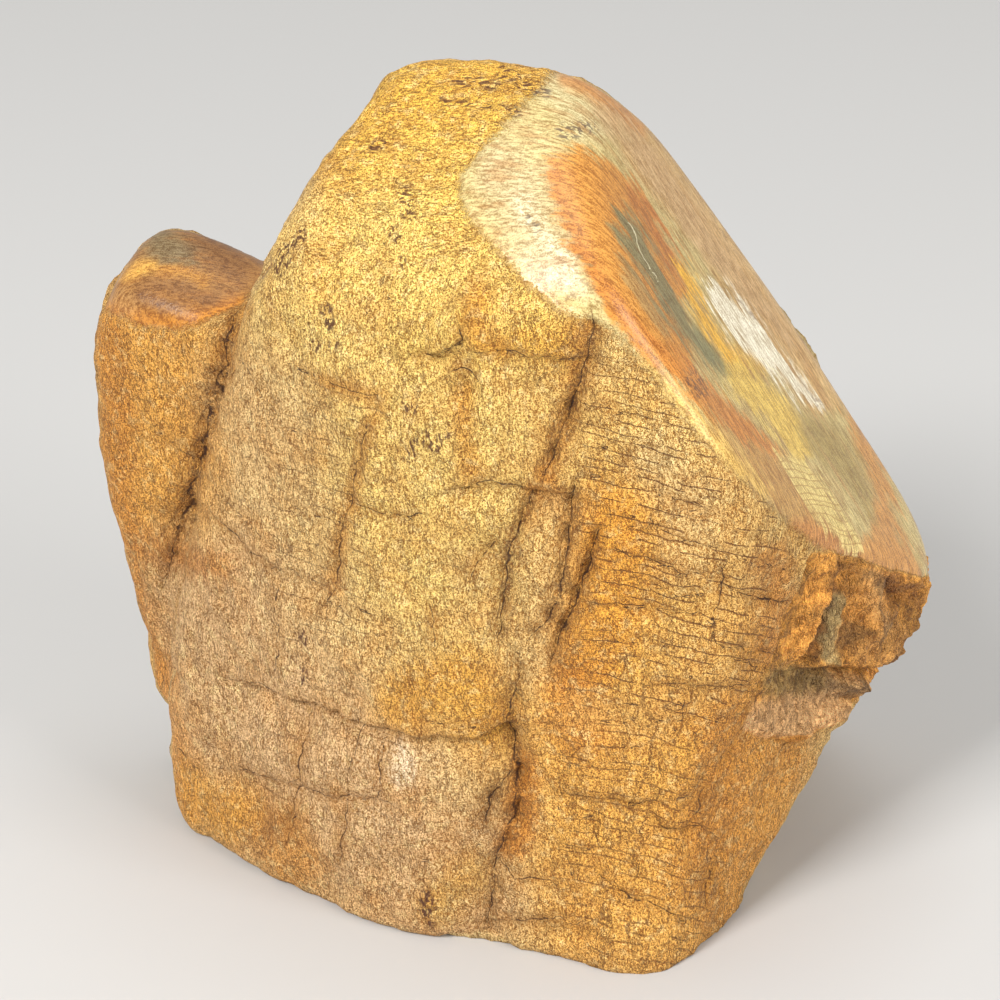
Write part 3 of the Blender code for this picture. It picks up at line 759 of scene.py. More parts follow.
# %% Swelling, plates, crumples and fibres
# Each noise has its size in metres, a seed, octaves and how far it is drawn out along the
# grain; the factor behind it is its height in millimetres.
swell = noise_at(field_place * (1, 1, 0.7), 0.042) * 1.6 + noise_at(field_place, 0.017, 4.0) * 0.8
fibre = noise_at(place, 0.0030, 14.0, 3, 3.0) * 0.22
lumps = noise_at(place, 0.0065, 18.0, 3, 1.4) * 0.55
grit = noise_at(place, 0.0022, 23.0, 2) * 0.11
plates = splinters(place * (1.0, 1.0, 0.8), 0.017, 0.060, 0.035) * 1000
CRUMPLED = {
    # name: half width in mm, route
    "main furrow": (9, [(585, 380), (548, 480), (530, 560), (520, 660), (512, 760), (500, 850)]),
    "lower right": (8, [(560, 720), (590, 830), (620, 900)]),
    "foot": (6, [(500, 900), (560, 920)]),
    "seam": (4, [(236, 320), (203, 440), (176, 560)]),
    "under the polish": (6, [(640, 400), (720, 500), (790, 560)]),
}
crumpled = np.zeros(count)
for half_width, route in CRUMPLED.values():
    signed, _, _ = along(picture_mm + slow_wander * 2.0, route_on("photo", route))
    crumpled = np.maximum(crumpled, (1.0 - easing(np.abs(signed), 0.0, half_width)) * seen)
crumpled = np.maximum(crumpled, easing(noise_at(place, 0.03, 81.0), 0.0, 0.4) * (1.0 - seen) * 0.7)
folds = 0.5 - np.abs(noise_at(place, 0.0038, 84.0, 2, 2.0))
print("swelling in mm", round(float(swell.min()), 2), round(float(swell.max()), 2))

# %% Carve the skin
# The base was ground flat, so the swelling fades out in the last millimetres above it.
base_fade = easing(place[:, 2], -0.0005, 0.0060)
rind = (1.0 - smooth) * (1.0 - broken)
height = (swell * base_fade + fibre + lumps + grit + plates + folds * 1.5 * crumpled) * rind
height += (knapped + (fibre + grit) * 0.5) * broken
height += facets * (1.0 - easing(ground_line, -0.0014, 0.0004))
height -= groove * (1.0 - 0.9 * smooth) * (1.0 - broken)
height -= stand_back * (1.0 - smooth) * (1.0 - broken * 0.7)
height += noise_at(place, 0.019, 33.0) * 0.10 * smooth
carved_place = place + normal * height[:, None] * 0.001
carved_place[:, 2] = np.maximum(carved_place[:, 2], 0.0)
skin_mesh.vertices.foreach_set("co", carved_place.ravel())
skin_mesh.update()
skin_mesh.shade_smooth()
print("carved between", round(float(height.min()), 2), "and", round(float(height.max()), 2), "mm")

# %% [markdown]
# ## Colours of the rind
# Iron stained the rind: pale cream where it is clean, ochre to orange where iron oxide
# sits, and pinkish grey near the foot. Each stain is a stroke along a route with a width,
# a softness and a hex colour. The strokes are soft, so the skin's points can hold them.


# %% Hex colours to linear light
def linear(hex_colour):
    """An sRGB hex colour as linear red, green and blue."""
    parts = [int(hex_colour[i:i + 2], 16) / 255 for i in (1, 3, 5)]
    return np.array([c / 12.92 if c <= 0.04045 else ((c + 0.055) / 1.055) ** 2.4 for c in parts])


def laid_over(under, over, share):
    """Colours laid over others, by one share a point."""
    return under * (1.0 - share[:, None]) + over * share[:, None]


def stroked(tint, strokes):
    """The tint with strokes of colour laid over it, one after the other."""
    for hex_colour, half_width, softness, strength, route in strokes:
        flat = picture_mm + wander + slow_wander * min(half_width * 0.35, 4.0)
        signed, _, _ = along(flat, route_on("photo", route))
        cover = 1.0 - easing(np.abs(signed), half_width - softness, half_width + softness)
        tint = laid_over(tint, linear(hex_colour), cover * strength * seen)
    return tint


# %% Stains on the rind
RIND_BASE = "#E0BB72"
RIND_STAINS = [
    # colour, half width and softness in mm, strength, route
    ("#E8C873", 26, 16, 0.9, [(380, 330), (430, 420), (400, 520)]),
    ("#E9C25A", 17, 10, 0.9, [(400, 130), (450, 180), (460, 280)]),
    ("#EDC250", 10, 7, 0.8, [(430, 90), (500, 90)]),
    ("#E2B042", 7, 6, 0.7, [(345, 150), (400, 100), (470, 76), (540, 80)]),
    ("#DFA93C", 5, 4, 0.6, [(340, 190), (350, 240), (330, 280)]),
    ("#E3B54E", 7, 5, 0.7, [(470, 250), (520, 320), (560, 340)]),
    ("#F0D074", 13, 9, 0.8, [(380, 250), (430, 270), (470, 300)]),
    ("#D39428", 2.6, 2, 0.75, [(478, 296), (478, 340), (500, 348)]),
    ("#D0922E", 2.2, 1.8, 0.7, [(462, 395), (466, 430), (472, 470)]),
    ("#D9A23A", 3.0, 2.5, 0.65, [(520, 335), (560, 345), (580, 330)]),
    ("#C88A34", 2.2, 2, 0.6, [(590, 330), (574, 395), (549, 470), (530, 520)]),
    ("#DDBA80", 18, 12, 0.9, [(240, 430), (240, 540), (290, 620)]),
    ("#D2AD7C", 18, 12, 0.95, [(200, 620), (230, 740), (360, 840), (440, 880)]),
    ("#DAB584", 12, 9, 0.8, [(300, 720), (400, 770)]),
    ("#D4A972", 9, 6, 0.6, [(380, 920), (460, 930)]),
    ("#F0C872", 14, 10, 0.9, [(650, 440), (640, 560)]),
    ("#E6AC46", 18, 10, 0.9, [(640, 560), (640, 680), (640, 820)]),
    ("#E4AC50", 16, 9, 0.9, [(600, 760), (620, 900), (680, 900)]),
    ("#DFA044", 14, 8, 0.95, [(740, 680), (760, 780), (730, 860)]),
    ("#E6A238", 8, 5, 0.75, [(612, 530), (610, 600), (592, 640)]),
    ("#D48A28", 6, 5, 0.85, [(572, 680), (584, 730)]),
    ("#CE8424", 3.2, 2, 0.85, [(522, 770), (520, 830), (512, 850)]),
    ("#DCA237", 8, 5, 0.8, [(410, 700), (460, 680), (485, 716)]),
    ("#D08C30", 2.4, 1.6, 0.7, [(534, 492), (556, 500), (548, 476)]),
    ("#E2B468", 6, 4, 0.5, [(590, 712), (650, 714)]),
    ("#E2C58E", 7, 5, 0.6, [(690, 550), (690, 500), (660, 460)]),
    ("#E2C084", 5, 4, 0.4, [(560, 520), (548, 600), (530, 660)]),
    ("#E0A64A", 14, 8, 0.95, [(150, 350), (150, 480)]),
    ("#CC8A34", 4, 3, 0.85, [(112, 330), (118, 450), (128, 560), (150, 680)]),
    ("#DC9840", 5, 4, 0.85, [(150, 690), (170, 760), (190, 800)]),
    ("#BC7C30", 3.5, 3, 0.75, [(150, 545), (190, 556), (215, 566)]),
    ("#CE9240", 6.0, 4, 0.8, [(236, 812), (285, 830), (292, 866)]),
    ("#9E6A30", 2.8, 2, 0.5, [(262, 812), (286, 826)]),
    ("#DCA23A", 6, 4, 0.6, [(200, 790), (230, 815)]),
    ("#F0DFC0", 2.2, 1.8, 0.6, [(401, 752), (403, 778)]),
    ("#B99A62", 3, 2.5, 0.5, [(452, 556), (478, 572)]),
    ("#8E5B2A", 1.8, 1.2, 0.7, [(428, 896), (432, 926)]),
    ("#CDA14A", 5, 4, 0.7, [(440, 900), (470, 880)]),
    ("#E6BC6C", 10, 7, 0.6, [(700, 660), (690, 600)]),
    ("#C88C36", 4, 3, 0.6, [(700, 880), (712, 920)]),
    ("#D08E36", 5, 3, 0.7, [(735, 720), (720, 790), (715, 840)]),
    ("#D48E3C", 4.5, 3, 0.7, [(770, 560), (782, 600), (776, 640)]),
    ("#C98E3A", 2.6, 2, 0.8, [(243, 306), (234, 328), (224, 350)]),
    ("#C98C34", 2.0, 1.5, 0.5, [(322, 380), (380, 400), (350, 504), (330, 590)]),
]
# Two slow noises colour the hidden sides, and the seen side a little between its stains.
drift = noise_at(place, 0.030, 51.0, 3, 1.6)
patch = noise_at(place, 0.016, 57.0, 3, 1.8)
tint = linear(RIND_BASE)
for hex_colour, amount in (("#D1923C", np.clip(drift * 1.7, 0, 0.75)),
                           ("#E6CB93", np.clip(-drift * 1.6, 0, 0.7)),
                           ("#B47C3A", np.clip(patch * 1.6 - 0.35, 0, 0.5))):
    tint = laid_over(tint, linear(hex_colour), amount * (1.0 - 0.65 * seen))
tint = stroked(tint, RIND_STAINS)
print("rind stains", len(RIND_STAINS))

# %% [markdown]
# ## Colours of the polished faces
# Polish shows the stone's inside: a cream band of sapwood, orange-brown heartwood, grey-green
# lenses of purer quartz, golden and white streaks. They run along the face like brush
# strokes. Bands with a clear edge are outlines: the skin stores how far inside each
# point lies, and the material frays that edge along the grain.

# %% Bands of the polished faces
POLISH_BASE = "#D6C486"
POLISH_BANDS = [
    # colour, half width and softness in mm, strength, route
    ("#DACE9C", 5, 3, 0.9, [(560, 84), (588, 120)]),
    ("#D4C294", 6, 4, 0.8, [(500, 170), (530, 220), (560, 260)]),
    ("#E4D8B2", 2.2, 1.4, 0.7, [(520, 200), (548, 240), (570, 262)]),
    ("#E4B868", 3.5, 2.4, 0.6, [(470, 236), (520, 290), (560, 318)]),
    ("#E5C07C", 3.0, 1.8, 0.8, [(590, 82), (640, 128), (690, 190), (740, 250), (790, 320),
                                (836, 392)]),
    ("#D99448", 1.6, 1.2, 0.8, [(566, 76), (600, 94), (640, 128)]),
    ("#E4C084", 3.6, 2.0, 0.8, [(640, 150), (690, 210), (740, 275), (790, 345), (818, 396)]),
    ("#EAC25C", 2.6, 1.6, 0.8, [(735, 352), (750, 364), (764, 360)]),
    ("#B5844A", 3.0, 1.8, 0.8, [(756, 462), (790, 492), (806, 514), (826, 540)]),
    ("#D4A860", 5.0, 3.0, 0.8, [(730, 440), (770, 480), (800, 520)]),
    ("#D2914A", 4.0, 2.0, 0.9, [(806, 540), (850, 556), (900, 570)]),
]
SHARP_BANDS = {
    # name: colour, strength, softness in mm, outline
    "rim band": ("#D0AC7C", 0.75, 1.4, [
        (590, 100), (620, 112), (655, 148), (690, 196), (730, 250), (770, 300), (800, 345),
        (790, 352), (756, 316), (716, 272), (690, 240), (660, 200), (632, 160), (604, 128)]),
    "front edge": ("#ECC670", 0.9, 1.2, [
        (630, 345), (652, 362), (684, 396), (716, 434), (748, 466), (772, 490), (760, 500),
        (732, 474), (700, 440), (668, 400)]),
    "orange body": ("#D69644", 0.97, 0.9, [
        (545, 160), (560, 150), (585, 150), (612, 165), (640, 190), (660, 225), (676, 256),
        (694, 290), (682, 300), (694, 340), (690, 372), (676, 378), (650, 358), (634, 342),
        (612, 318), (598, 292), (585, 265), (566, 232), (552, 196)]),
    "deep orange": ("#C67F34", 0.75, 1.6, [
        (546, 166), (556, 164), (566, 196), (582, 236), (604, 274), (630, 312), (650, 344),
        (640, 344), (614, 316), (594, 286), (570, 240), (552, 198)]),
    "red edge": ("#BF7436", 0.6, 1.2, [
        (628, 186), (648, 204), (668, 240), (688, 278), (696, 300), (684, 296), (664, 262),
        (646, 228), (630, 200)]),
    "red band": ("#D68E40", 0.9, 1.1, [
        (652, 342), (668, 344), (692, 368), (716, 392), (744, 416), (772, 440), (790, 456),
        (776, 462), (748, 442), (716, 420), (692, 398), (670, 372)]),
    "gold": ("#F6C040", 0.95, 1.0, [
        (676, 262), (690, 275), (702, 300), (714, 322), (730, 346), (748, 366), (742, 374),
        (724, 360), (708, 342), (698, 322), (686, 296)]),
    "yellow": ("#EDCB66", 0.95, 1.3, [
        (720, 366), (740, 362), (760, 376), (782, 396), (800, 420), (812, 452), (800, 466),
        (780, 440), (756, 414), (734, 392)]),
    "tan end": ("#D69C52", 0.95, 1.2, [
        (840, 392), (870, 430), (888, 480), (900, 530), (930, 590), (888, 578), (862, 562),
        (874, 520), (870, 480), (856, 440)]),
    "comb": ("#F0DA8C", 0.9, 0.8, [
        (776, 452), (796, 458), (820, 476), (842, 506), (862, 548), (856, 560), (838, 540),
        (816, 512), (794, 486)]),
    "green patch": ("#B09858", 0.85, 1.4, [
        (796, 412), (820, 418), (842, 436), (860, 460), (871, 488), (874, 520), (864, 506),
        (850, 490), (830, 468), (808, 446)]),
    "green lens": ("#85845E", 0.88, 1.1, [
        (614, 202), (628, 210), (642, 228), (654, 250), (664, 274), (676, 300), (688, 320),
        (704, 338), (718, 354), (723, 374), (708, 366), (690, 348), (674, 330), (660, 308),
        (650, 286), (638, 268), (626, 246), (618, 224)]),
    "low green": ("#A79160", 0.6, 1.2, [
        (622, 256), (640, 272), (654, 300), (674, 334), (664, 334), (642, 306), (626, 280)]),
    "white streak": ("#FFFAE4", 0.97, 0.9, [
        (708, 279), (718, 282), (738, 300), (758, 320), (772, 338), (788, 360), (806, 386),
        (820, 408), (804, 402), (790, 390), (770, 373), (754, 360), (742, 346), (726, 330),
        (716, 308)]),
}
bands = stroked(linear(POLISH_BASE), POLISH_BANDS)
hidden_face = (1.0 - seen) * easing(polish_mm, 0.0, 2.0)
bands = laid_over(bands, linear("#DDAF6C"), hidden_face)

SHOULDER_BANDS = [
    ("#A97C44", 20, 4, 1.0, [(160, 270), (230, 290)]),
    ("#85795A", 4.2, 3.0, 0.8, [(160, 244), (182, 256)]),
    ("#93673A", 4.0, 2.6, 0.8, [(150, 296), (210, 306)]),
    ("#8C6238", 3.0, 2.0, 0.7, [(200, 240), (236, 268)]),
    ("#E8B457", 1.5, 0.9, 0.9, [(124, 276), (138, 270), (148, 268)]),
    ("#D0953E", 1.3, 0.9, 0.8, [(162, 270), (184, 272), (206, 280)]),
    ("#D08A30", 2.0, 1.6, 0.9, [(106, 306), (142, 320), (176, 326), (206, 318), (242, 304)]),
    ("#BF935E", 2.0, 1.6, 0.6, [(118, 300), (130, 308)]),
]
shoulder_colour = stroked(linear("#A57A46"), SHOULDER_BANDS)
bands = laid_over(bands, shoulder_colour, easing(shoulder_mm, -2.0, 0.0))
print("polish bands", len(POLISH_BANDS), "sharp bands", len(SHARP_BANDS))

# %% [markdown]
# ### Thin veins in the polish
# Growth lines and healed cracks show as thin lines, dark ones between the bands and pale
# ones in the middle. They are drawn like the cracks, but stay level with the surface.

# %% Veins
DARK_VEINS = [
    [(706, 272), (738, 298), (768, 330), (796, 372), (820, 410)],
    [(690, 250), (720, 282), (752, 312), (784, 352)],
    [(655, 345), (690, 385), (730, 428), (770, 462)],
    [(560, 180), (572, 215), (590, 250), (606, 285)],
    [(600, 160), (632, 196), (655, 235)],
    [(770, 470), (800, 500), (820, 525)],
    [(640, 120), (672, 158), (700, 200), (730, 240)],
    [(836, 440), (858, 470), (868, 500)],
    [(664, 300), (690, 345), (712, 372)],
    [(800, 380), (826, 410), (850, 440)],
]
PALE_VEINS = [
    [(624, 216), (633, 232), (640, 252), (650, 268), (656, 280)],
    [(520, 205), (540, 232), (562, 256), (580, 280)],
    [(745, 345), (775, 372), (800, 398)],
]
dark_veins = line_layers([("photo", "crack", route) for route in DARK_VEINS])
pale_veins = line_layers([("photo", "crack", route) for route in PALE_VEINS])

# %% Colours of the break, with painted shade in its clefts and hollows
BREAK_STAINS_AND_SHADOWS = [
    ("#EBA850", 2.8, 1.4, 0.9, [(826, 566), (812, 604), (796, 650)]),
    # Painted shadow in the cleft beside the first wedge.
    ("#8A5A28", 2.2, 1.4, 0.8, [(842, 570), (830, 606), (818, 650)]),
    ("#C0A874", 2.0, 0.8, 0.9, [(845, 606), (838, 634), (833, 656)]),
    ("#C48A44", 6.0, 3.0, 0.8, [(880, 590), (876, 640)]),
    # Painted shade on the facet that faces down under the rim.
    ("#94602A", 3.0, 1.6, 0.7, [(886, 584), (914, 596)]),
    ("#C89452", 3.0, 2.0, 0.7, [(856, 640), (880, 650), (900, 640)]),
    ("#DCAA6C", 1.6, 1.2, 0.7, [(872, 576), (880, 600), (886, 630)]),
    ("#B8975C", 3.6, 2.0, 0.9, [(776, 682), (806, 690), (836, 694)]),
    ("#FFCB90", 4.2, 1.4, 0.95, [(756, 724), (790, 720), (836, 714)]),
    ("#C49C6C", 2.0, 1.2, 0.9, [(842, 688), (868, 692)]),
]
break_colour_and_shade = stroked(linear("#E0A048"), BREAK_STAINS_AND_SHADOWS)
break_colour_and_shade *= (1.0 + 0.42 * facet_tone)[:, None]
# Painted shade: the deeper a facet lies, in the clefts, the undercut and the notch, the darker it is.
break_colour_and_shade *= (1.0 - 0.30 * easing(-facets, 1.6, 3.8))[:, None]
tint = laid_over(tint, break_colour_and_shade, broken)

# %% [markdown]
# ## Dark specks in clusters
# Mineral-filled vessels show as clusters of reddish-brown specks, each 0.3 to 1 mm wide.
# The skin stores only where a cluster is; the material fills it with specks.

# %% Speck clusters
CLUSTERS = [
    # half width in mm, route
    (2.4, [(405, 196), (408, 214)]),
    (1.5, [(394, 232), (398, 240)]),
    (1.3, [(402, 256), (406, 262)]),
    (1.6, [(328, 310), (334, 324)]),
    (1.8, [(318, 346), (336, 346)]),
    (1.8, [(424, 436), (436, 444)]),
    (1.6, [(412, 444), (410, 462)]),
    (1.0, [(440, 432), (448, 434)]),
    (1.8, [(292, 250), (284, 270)]),
    (1.4, [(306, 232), (300, 244)]),
    (1.2, [(304, 630), (305, 642)]),
    (1.2, [(302, 670), (306, 680)]),
    (2.2, [(424, 896), (430, 920)]),
    (2.2, [(562, 134), (590, 126)]),
    (2.6, [(690, 376), (700, 390)]),
    (1.2, [(530, 216), (540, 232)]),
    (1.6, [(404, 400), (412, 408)]),
    (1.2, [(455, 82), (500, 88)]),
    (1.4, [(500, 76), (546, 94)]),
    (1.0, [(440, 100), (520, 114)]),
    (1.6, [(370, 150), (384, 140)]),
]
specks = np.zeros(count)
for half_width, route in CLUSTERS:
    signed, _, _ = along(picture_mm + wander, route_on("photo", route))
    specks = np.maximum(specks, (1.0 - easing(np.abs(signed), 0.0, half_width * 1.5)) * seen)
back_specks = easing(noise_at(place, 0.011, 71.0), 0.50, 0.75) * (1.0 - seen) * 0.7
specks = np.maximum(specks, back_specks)

# %% [markdown]
# ## Fine checks
# The right half is crossed by fine checks about 2.5 mm apart, square to the grain.
# Each point stores its level across them, so that one noise-broken line pattern in the
# material can follow the slope that the checks have in the photograph.

# %% Levels and strength of the checks
# Across the photograph the checks rise and fall by this much, both in its pixels.
CHECK_SLOPE_AT = (150, 280, 400, 500, 580, 740, 860)
CHECK_SLOPE_RISE = (0, 66, 108, 112, 122, 156, 170)
# On the hidden sides a metre of height counts as much as it does in the photograph.
MM_PER_METRE_UP = 891
bent = np.interp(pixels[:, 0], CHECK_SLOPE_AT, CHECK_SLOPE_RISE) * MM_PER_PIXEL
level_seen = picture_mm[:, 1] + bent
level_hidden = (place[:, 2] - AIM[2]) * MM_PER_METRE_UP - PICTURE_MIDDLE * MM_PER_PIXEL
level_hidden += 36 * easing(place[:, 0], -0.07, 0.08)
level = level_seen * seen + level_hidden * (1.0 - seen)
level += wander[:, 0] * 0.4 + slow_wander[:, 0] * 1.3
CHECKED = {
    # name: strength across, strength down the grain, half width in mm, route
    "right": (1.0, 0.45, 26, [(690, 470), (680, 640)]),
    "right of the furrow": (0.8, 0.3, 14, [(620, 400), (630, 520)]),
    "lower right": (0.75, 0.8, 22, [(640, 720), (640, 880)]),
    "left middle": (0.55, 0.5, 16, [(330, 440), (320, 600)]),
    "centre": (0.3, 0.25, 20, [(430, 560), (430, 640)]),
    "lower left": (0.35, 0.4, 26, [(260, 720), (400, 840)]),
    "left edge": (0.3, 0.2, 10, [(150, 400), (170, 600)]),
}
checks_across = (0.35 + 0.5 * easing(drift, -0.1, 0.4)) * (1.0 - seen)
checks_down = (0.4 + 0.4 * easing(patch, -0.1, 0.4)) * (1.0 - seen)
for across_share, down_share, half_width, route in CHECKED.values():
    signed, _, _ = along(picture_mm + slow_wander * 3.0, route_on("photo", route))
    cover = (1.0 - easing(np.abs(signed), half_width * 0.6, half_width)) * seen
    checks_across = np.maximum(checks_across, cover * across_share)
    checks_down = np.maximum(checks_down, cover * down_share)


# %% Store everything on the skin
def keep(name, values):
    """Store one number a point, or one colour a point, on the skin."""
    if values.ndim == 1:
        stored = skin_mesh.attributes.new(name, "FLOAT", "POINT")
        stored.data.foreach_set("value", values.astype(np.float32))
    else:
        stored = skin_mesh.attributes.new(name, "FLOAT_COLOR", "POINT")
        full = np.concatenate((values, np.ones((count, 1))), axis=1)
        stored.data.foreach_set("color", full.ravel().astype(np.float32))


for name, layers in (("crack", cracks), ("dark vein", dark_veins), ("pale vein", pale_veins)):
    keep(name + " side", layers["side"])
    keep(name + " gap", np.abs(layers["side"]))
for name, values in {
        "rind tint": tint, "polish tint": bands, "crack halo": cracks["halo"],
        "furrow painted shade": cracks["shade"], "furrow zone": cracks["zone"],
        "polish mm": np.maximum(polish_mm, shoulder_mm) * (1.0 - broken) - 2.0 * broken,
        "broken": broken, "specks": specks, "check level": level,
        "checks across": checks_across, "checks down": checks_down}.items():
    keep(name, values)
for name, (_, _, _, outline) in SHARP_BANDS.items():
    band_mm = inside_outline(picture_mm + wander * 0.8, route_on("photo", outline))
    keep(name, np.where(in_photo, band_mm.clip(-FAR, FAR), -FAR))
print("stored layers", len(skin_mesh.attributes))

# %% [markdown]
# ## The material
# Quartz has an IOR near 1.54 and no metal. The weathered rind has a roughness of about
# 0.75, because its surface is etched. The polish has about 0.35, which is a soft gloss.
# One material covers the stone, because the rind turns into polish without a seam.


# %% A helper for nodes
def add(tree, kind, links=None, **settings):
    """Add a node, set its properties, and link or set its inputs."""
    made = tree.nodes.new(kind)
    for name, value in settings.items():
        setattr(made, name, value)
    for name, value in (links or {}).items():
        if isinstance(value, bpy.types.NodeSocket):
            tree.links.new(value, made.inputs[name])
        else:
            made.inputs[name].default_value = value
    return made


petrified = bpy.data.materials.new("petrified wood, weathered and polished")
petrified.use_nodes = True
tree = petrified.node_tree
shader = tree.nodes["Principled BSDF"]
shader.inputs["IOR"].default_value = 1.54
shader.inputs["Metallic"].default_value = 0.0


# %% Small shorthands for this material
def pattern(space, size_mm, detail=2.0, roughness=0.6):
    """Noise whose lumps are about size_mm wide, from 0 to 1."""
    made = add(tree, "ShaderNodeTexNoise", {"Vector": space, "Scale": 1.0 / size_mm, "Detail": detail,
                                           "Roughness": roughness})
    return made.outputs["Fac"]


def between(value, low, high, to_low=0.0, to_high=1.0):
    """Map low..high to to_low..to_high with a soft S."""
    made = add(tree, "ShaderNodeMapRange", {"Value": value, "From Min": low, "From Max": high,
                                           "To Min": to_low, "To Max": to_high},
               interpolation_type="SMOOTHSTEP")
    return made.outputs["Result"]


def maths(operation, first, second=0.0, third=0.0):
    """One Math node."""
    return add(tree, "ShaderNodeMath", {0: first, 1: second, 2: third}, operation=operation).outputs[0]


def times(first, second):
    """Two numbers multiplied."""
    return maths("MULTIPLY", first, second)


def plus(first, second):
    """Two numbers added."""
    return maths("ADD", first, second)


def stretched(value, factor, shift):
    """A number times a factor, plus a shift."""
    return maths("MULTIPLY_ADD", value, factor, shift)


def mixed(share, first, second, blend="MIX"):
    """Mix two colours."""
    made = add(tree, "ShaderNodeMix", {0: share, 6: first, 7: second}, data_type="RGBA",
               blend_type=blend, clamp_factor=True)
    return made.outputs[2]


def paint(hex_colour):
    """A hex colour for a node's colour input."""
    return (*linear(hex_colour), 1.0)


def coated(colour, mask, strength, hex_colour):
    """A colour with another laid over it where the mask is 1."""
    return mixed(times(mask, strength), colour, paint(hex_colour))


def layer(name, output="Fac"):
    """A layer that is stored on the skin."""
    return add(tree, "ShaderNodeAttribute", attribute_name=name).outputs[output]


def scaled(vector, factors):
    """A vector with each part multiplied."""
    return add(tree, "ShaderNodeVectorMath", {0: vector, 1: factors}, operation="MULTIPLY").outputs[0]


def joined(x, y, z=0.0):
    """A vector from its three parts."""
    return add(tree, "ShaderNodeCombineXYZ", {0: x, 1: y, 2: z}).outputs[0]


def along_way(vector, way):
    """How far a vector reaches along a way."""
    return add(tree, "ShaderNodeVectorMath", {0: vector, 1: tuple(way)},
               operation="DOT_PRODUCT").outputs["Value"]


# %% Coordinates in millimetres, plain and drawn out along the grain
MM = scaled(add(tree, "ShaderNodeTexCoord").outputs["Object"], (1000.0, 1000.0, 1000.0))
X, Y, Z = add(tree, "ShaderNodeSeparateXYZ", {0: MM}).outputs
lean = add(tree, "ShaderNodeVectorRotate", {"Vector": MM, "Angle": math.radians(7)},
           rotation_type="Y_AXIS").outputs[0]
# On the dome the grain is cut nearly square, so its marks lie along the surface. It starts
# near a height of 164 mm, and the broad noise moves that border up and down.
DOME_FRAY, DOME_LEVEL = 40.0, 184.0
broad = pattern(MM, 9.0, 2.0, 0.6)
on_dome = maths("GREATER_THAN", stretched(broad, DOME_FRAY, Z), DOME_LEVEL)
dome = add(tree, "ShaderNodeMix", {0: on_dome, 4: scaled(lean, (1.0, 1.0, 0.42)),
                                  5: scaled(MM, (0.35, 0.8, 1.2))}, data_type="VECTOR")
GRAIN = dome.outputs[1]
# Across the polished face the streaks keep their width; down the face they are eight
# times as long, and into the stone three times.
face_way = facing(*POLISHED_FACING)
downhill = facing(POLISHED_FACING[0], POLISHED_FACING[1] - 90)
level_way = np.cross(face_way, downhill)
FACE = joined(along_way(MM, downhill * 0.12), along_way(MM, level_way),
              along_way(MM, face_way * 0.3))
LEVEL = layer("check level")

# %% [markdown]
# ### Rind
# Wood fibres are 0.02 to 0.05 mm wide, far too fine to show, so the fibre pattern is drawn
# at 0.4 mm across. Over it lies a sugary grain of 0.3 mm. Its colour follows its bump: dark
# in its pits as painted shade and pale on its tips as a painted highlight, over the grain's
# own speckle. Broad wrinkles and creases a few millimetres apart gather dirt, and so do pores.

# %% Rind colour
sugar = pattern(MM, 0.30, 2.0, 0.8)
fibre_fine = pattern(GRAIN, 0.42, 3.0, 0.7)
mottle = pattern(MM, 2.4, 3.0, 0.65)
wrinkle = maths("ABSOLUTE", maths("SUBTRACT", pattern(GRAIN, 1.5, 2.0, 0.6), 0.5))
grain_tone = plus(times(sugar, 0.6), times(fibre_fine, 0.4))
DARK_GRAIN_AND_PIT_SHADE, PALE_GRAIN_AND_TIP_HIGHLIGHT = (0.52, 0.33, 0.10, 1.0), (1.66, 1.68, 1.72, 1.0)
rind_colour = layer("rind tint", "Color")
rind_colour = mixed(between(broad, 0.42, 0.70, 0.0, 0.40), rind_colour, paint("#C48A3C"))
rind_colour = mixed(between(mottle, 0.50, 0.68, 0.0, 0.38), rind_colour, paint("#F4DC9C"))
# The grain's own speckle, plus painted shade in its pits and a painted highlight on its tips, because
# the bump below rises with the same grain_tone.
grain_speckle_shade_and_highlight = mixed(between(grain_tone, 0.43, 0.56), DARK_GRAIN_AND_PIT_SHADE, PALE_GRAIN_AND_TIP_HIGHLIGHT)
rind_colour = mixed(1.0, rind_colour, grain_speckle_shade_and_highlight, "MULTIPLY")
rind_colour = mixed(between(wrinkle, 0.030, 0.004, 0.0, 0.50), rind_colour, paint("#96621C"))
crease = maths("ABSOLUTE", maths("SUBTRACT", pattern(GRAIN, 4.5, 4.0, 0.68), 0.5))
crease_line = between(crease, 0.016, 0.003)
rind_colour = coated(rind_colour, crease_line, 0.55, "#85541A")
pore_mask = times(between(fibre_fine, 0.34, 0.28), between(mottle, 0.42, 0.56))
rind_colour = coated(rind_colour, pore_mask, 0.75, "#5E3C16")

# %% [markdown]
# ### Cracks in the rind
# Dirt and iron sit in the cracks. A sharp, nearly black line follows the bottom, broken
# here and there, and a brown halo spreads a millimetre or two. Along the deep furrows a
# dark brown band is painted as shade in their bottoms. Fine checks run between, and
# upright strands split off beside the deep furrows.


# %% Crack colours
def drawn_line(name, jitter, wide_share=1.15, narrow_share=0.45):
    """1 on the line that the skin stores under this name."""
    off = maths("ABSOLUTE", plus(layer(name + " side"), jitter))
    return times(between(off, wide_share, narrow_share),
                 between(layer(name + " gap"), 6.0, 4.0))


jitter_noise = pattern(MM, 0.9, 3.0, 0.7)
jitter = stretched(jitter_noise, 4.0, -2.0)
line = times(drawn_line("crack", jitter), between(mottle, 0.38, 0.50, 0.15, 1.0))
halo_mask = times(layer("crack halo"), between(mottle, 0.36, 0.62, 0.25, 0.95))
rind_colour = coated(rind_colour, halo_mask, 0.65, "#AE6F1E")
# Painted shade in the bottoms of the furrows, broken up by noise.
painted_furrow_shade_mask = times(layer("furrow painted shade"), between(jitter_noise, 0.58, 0.42))
rind_colour = coated(rind_colour, painted_furrow_shade_mask, 0.70, "#5E3C18")


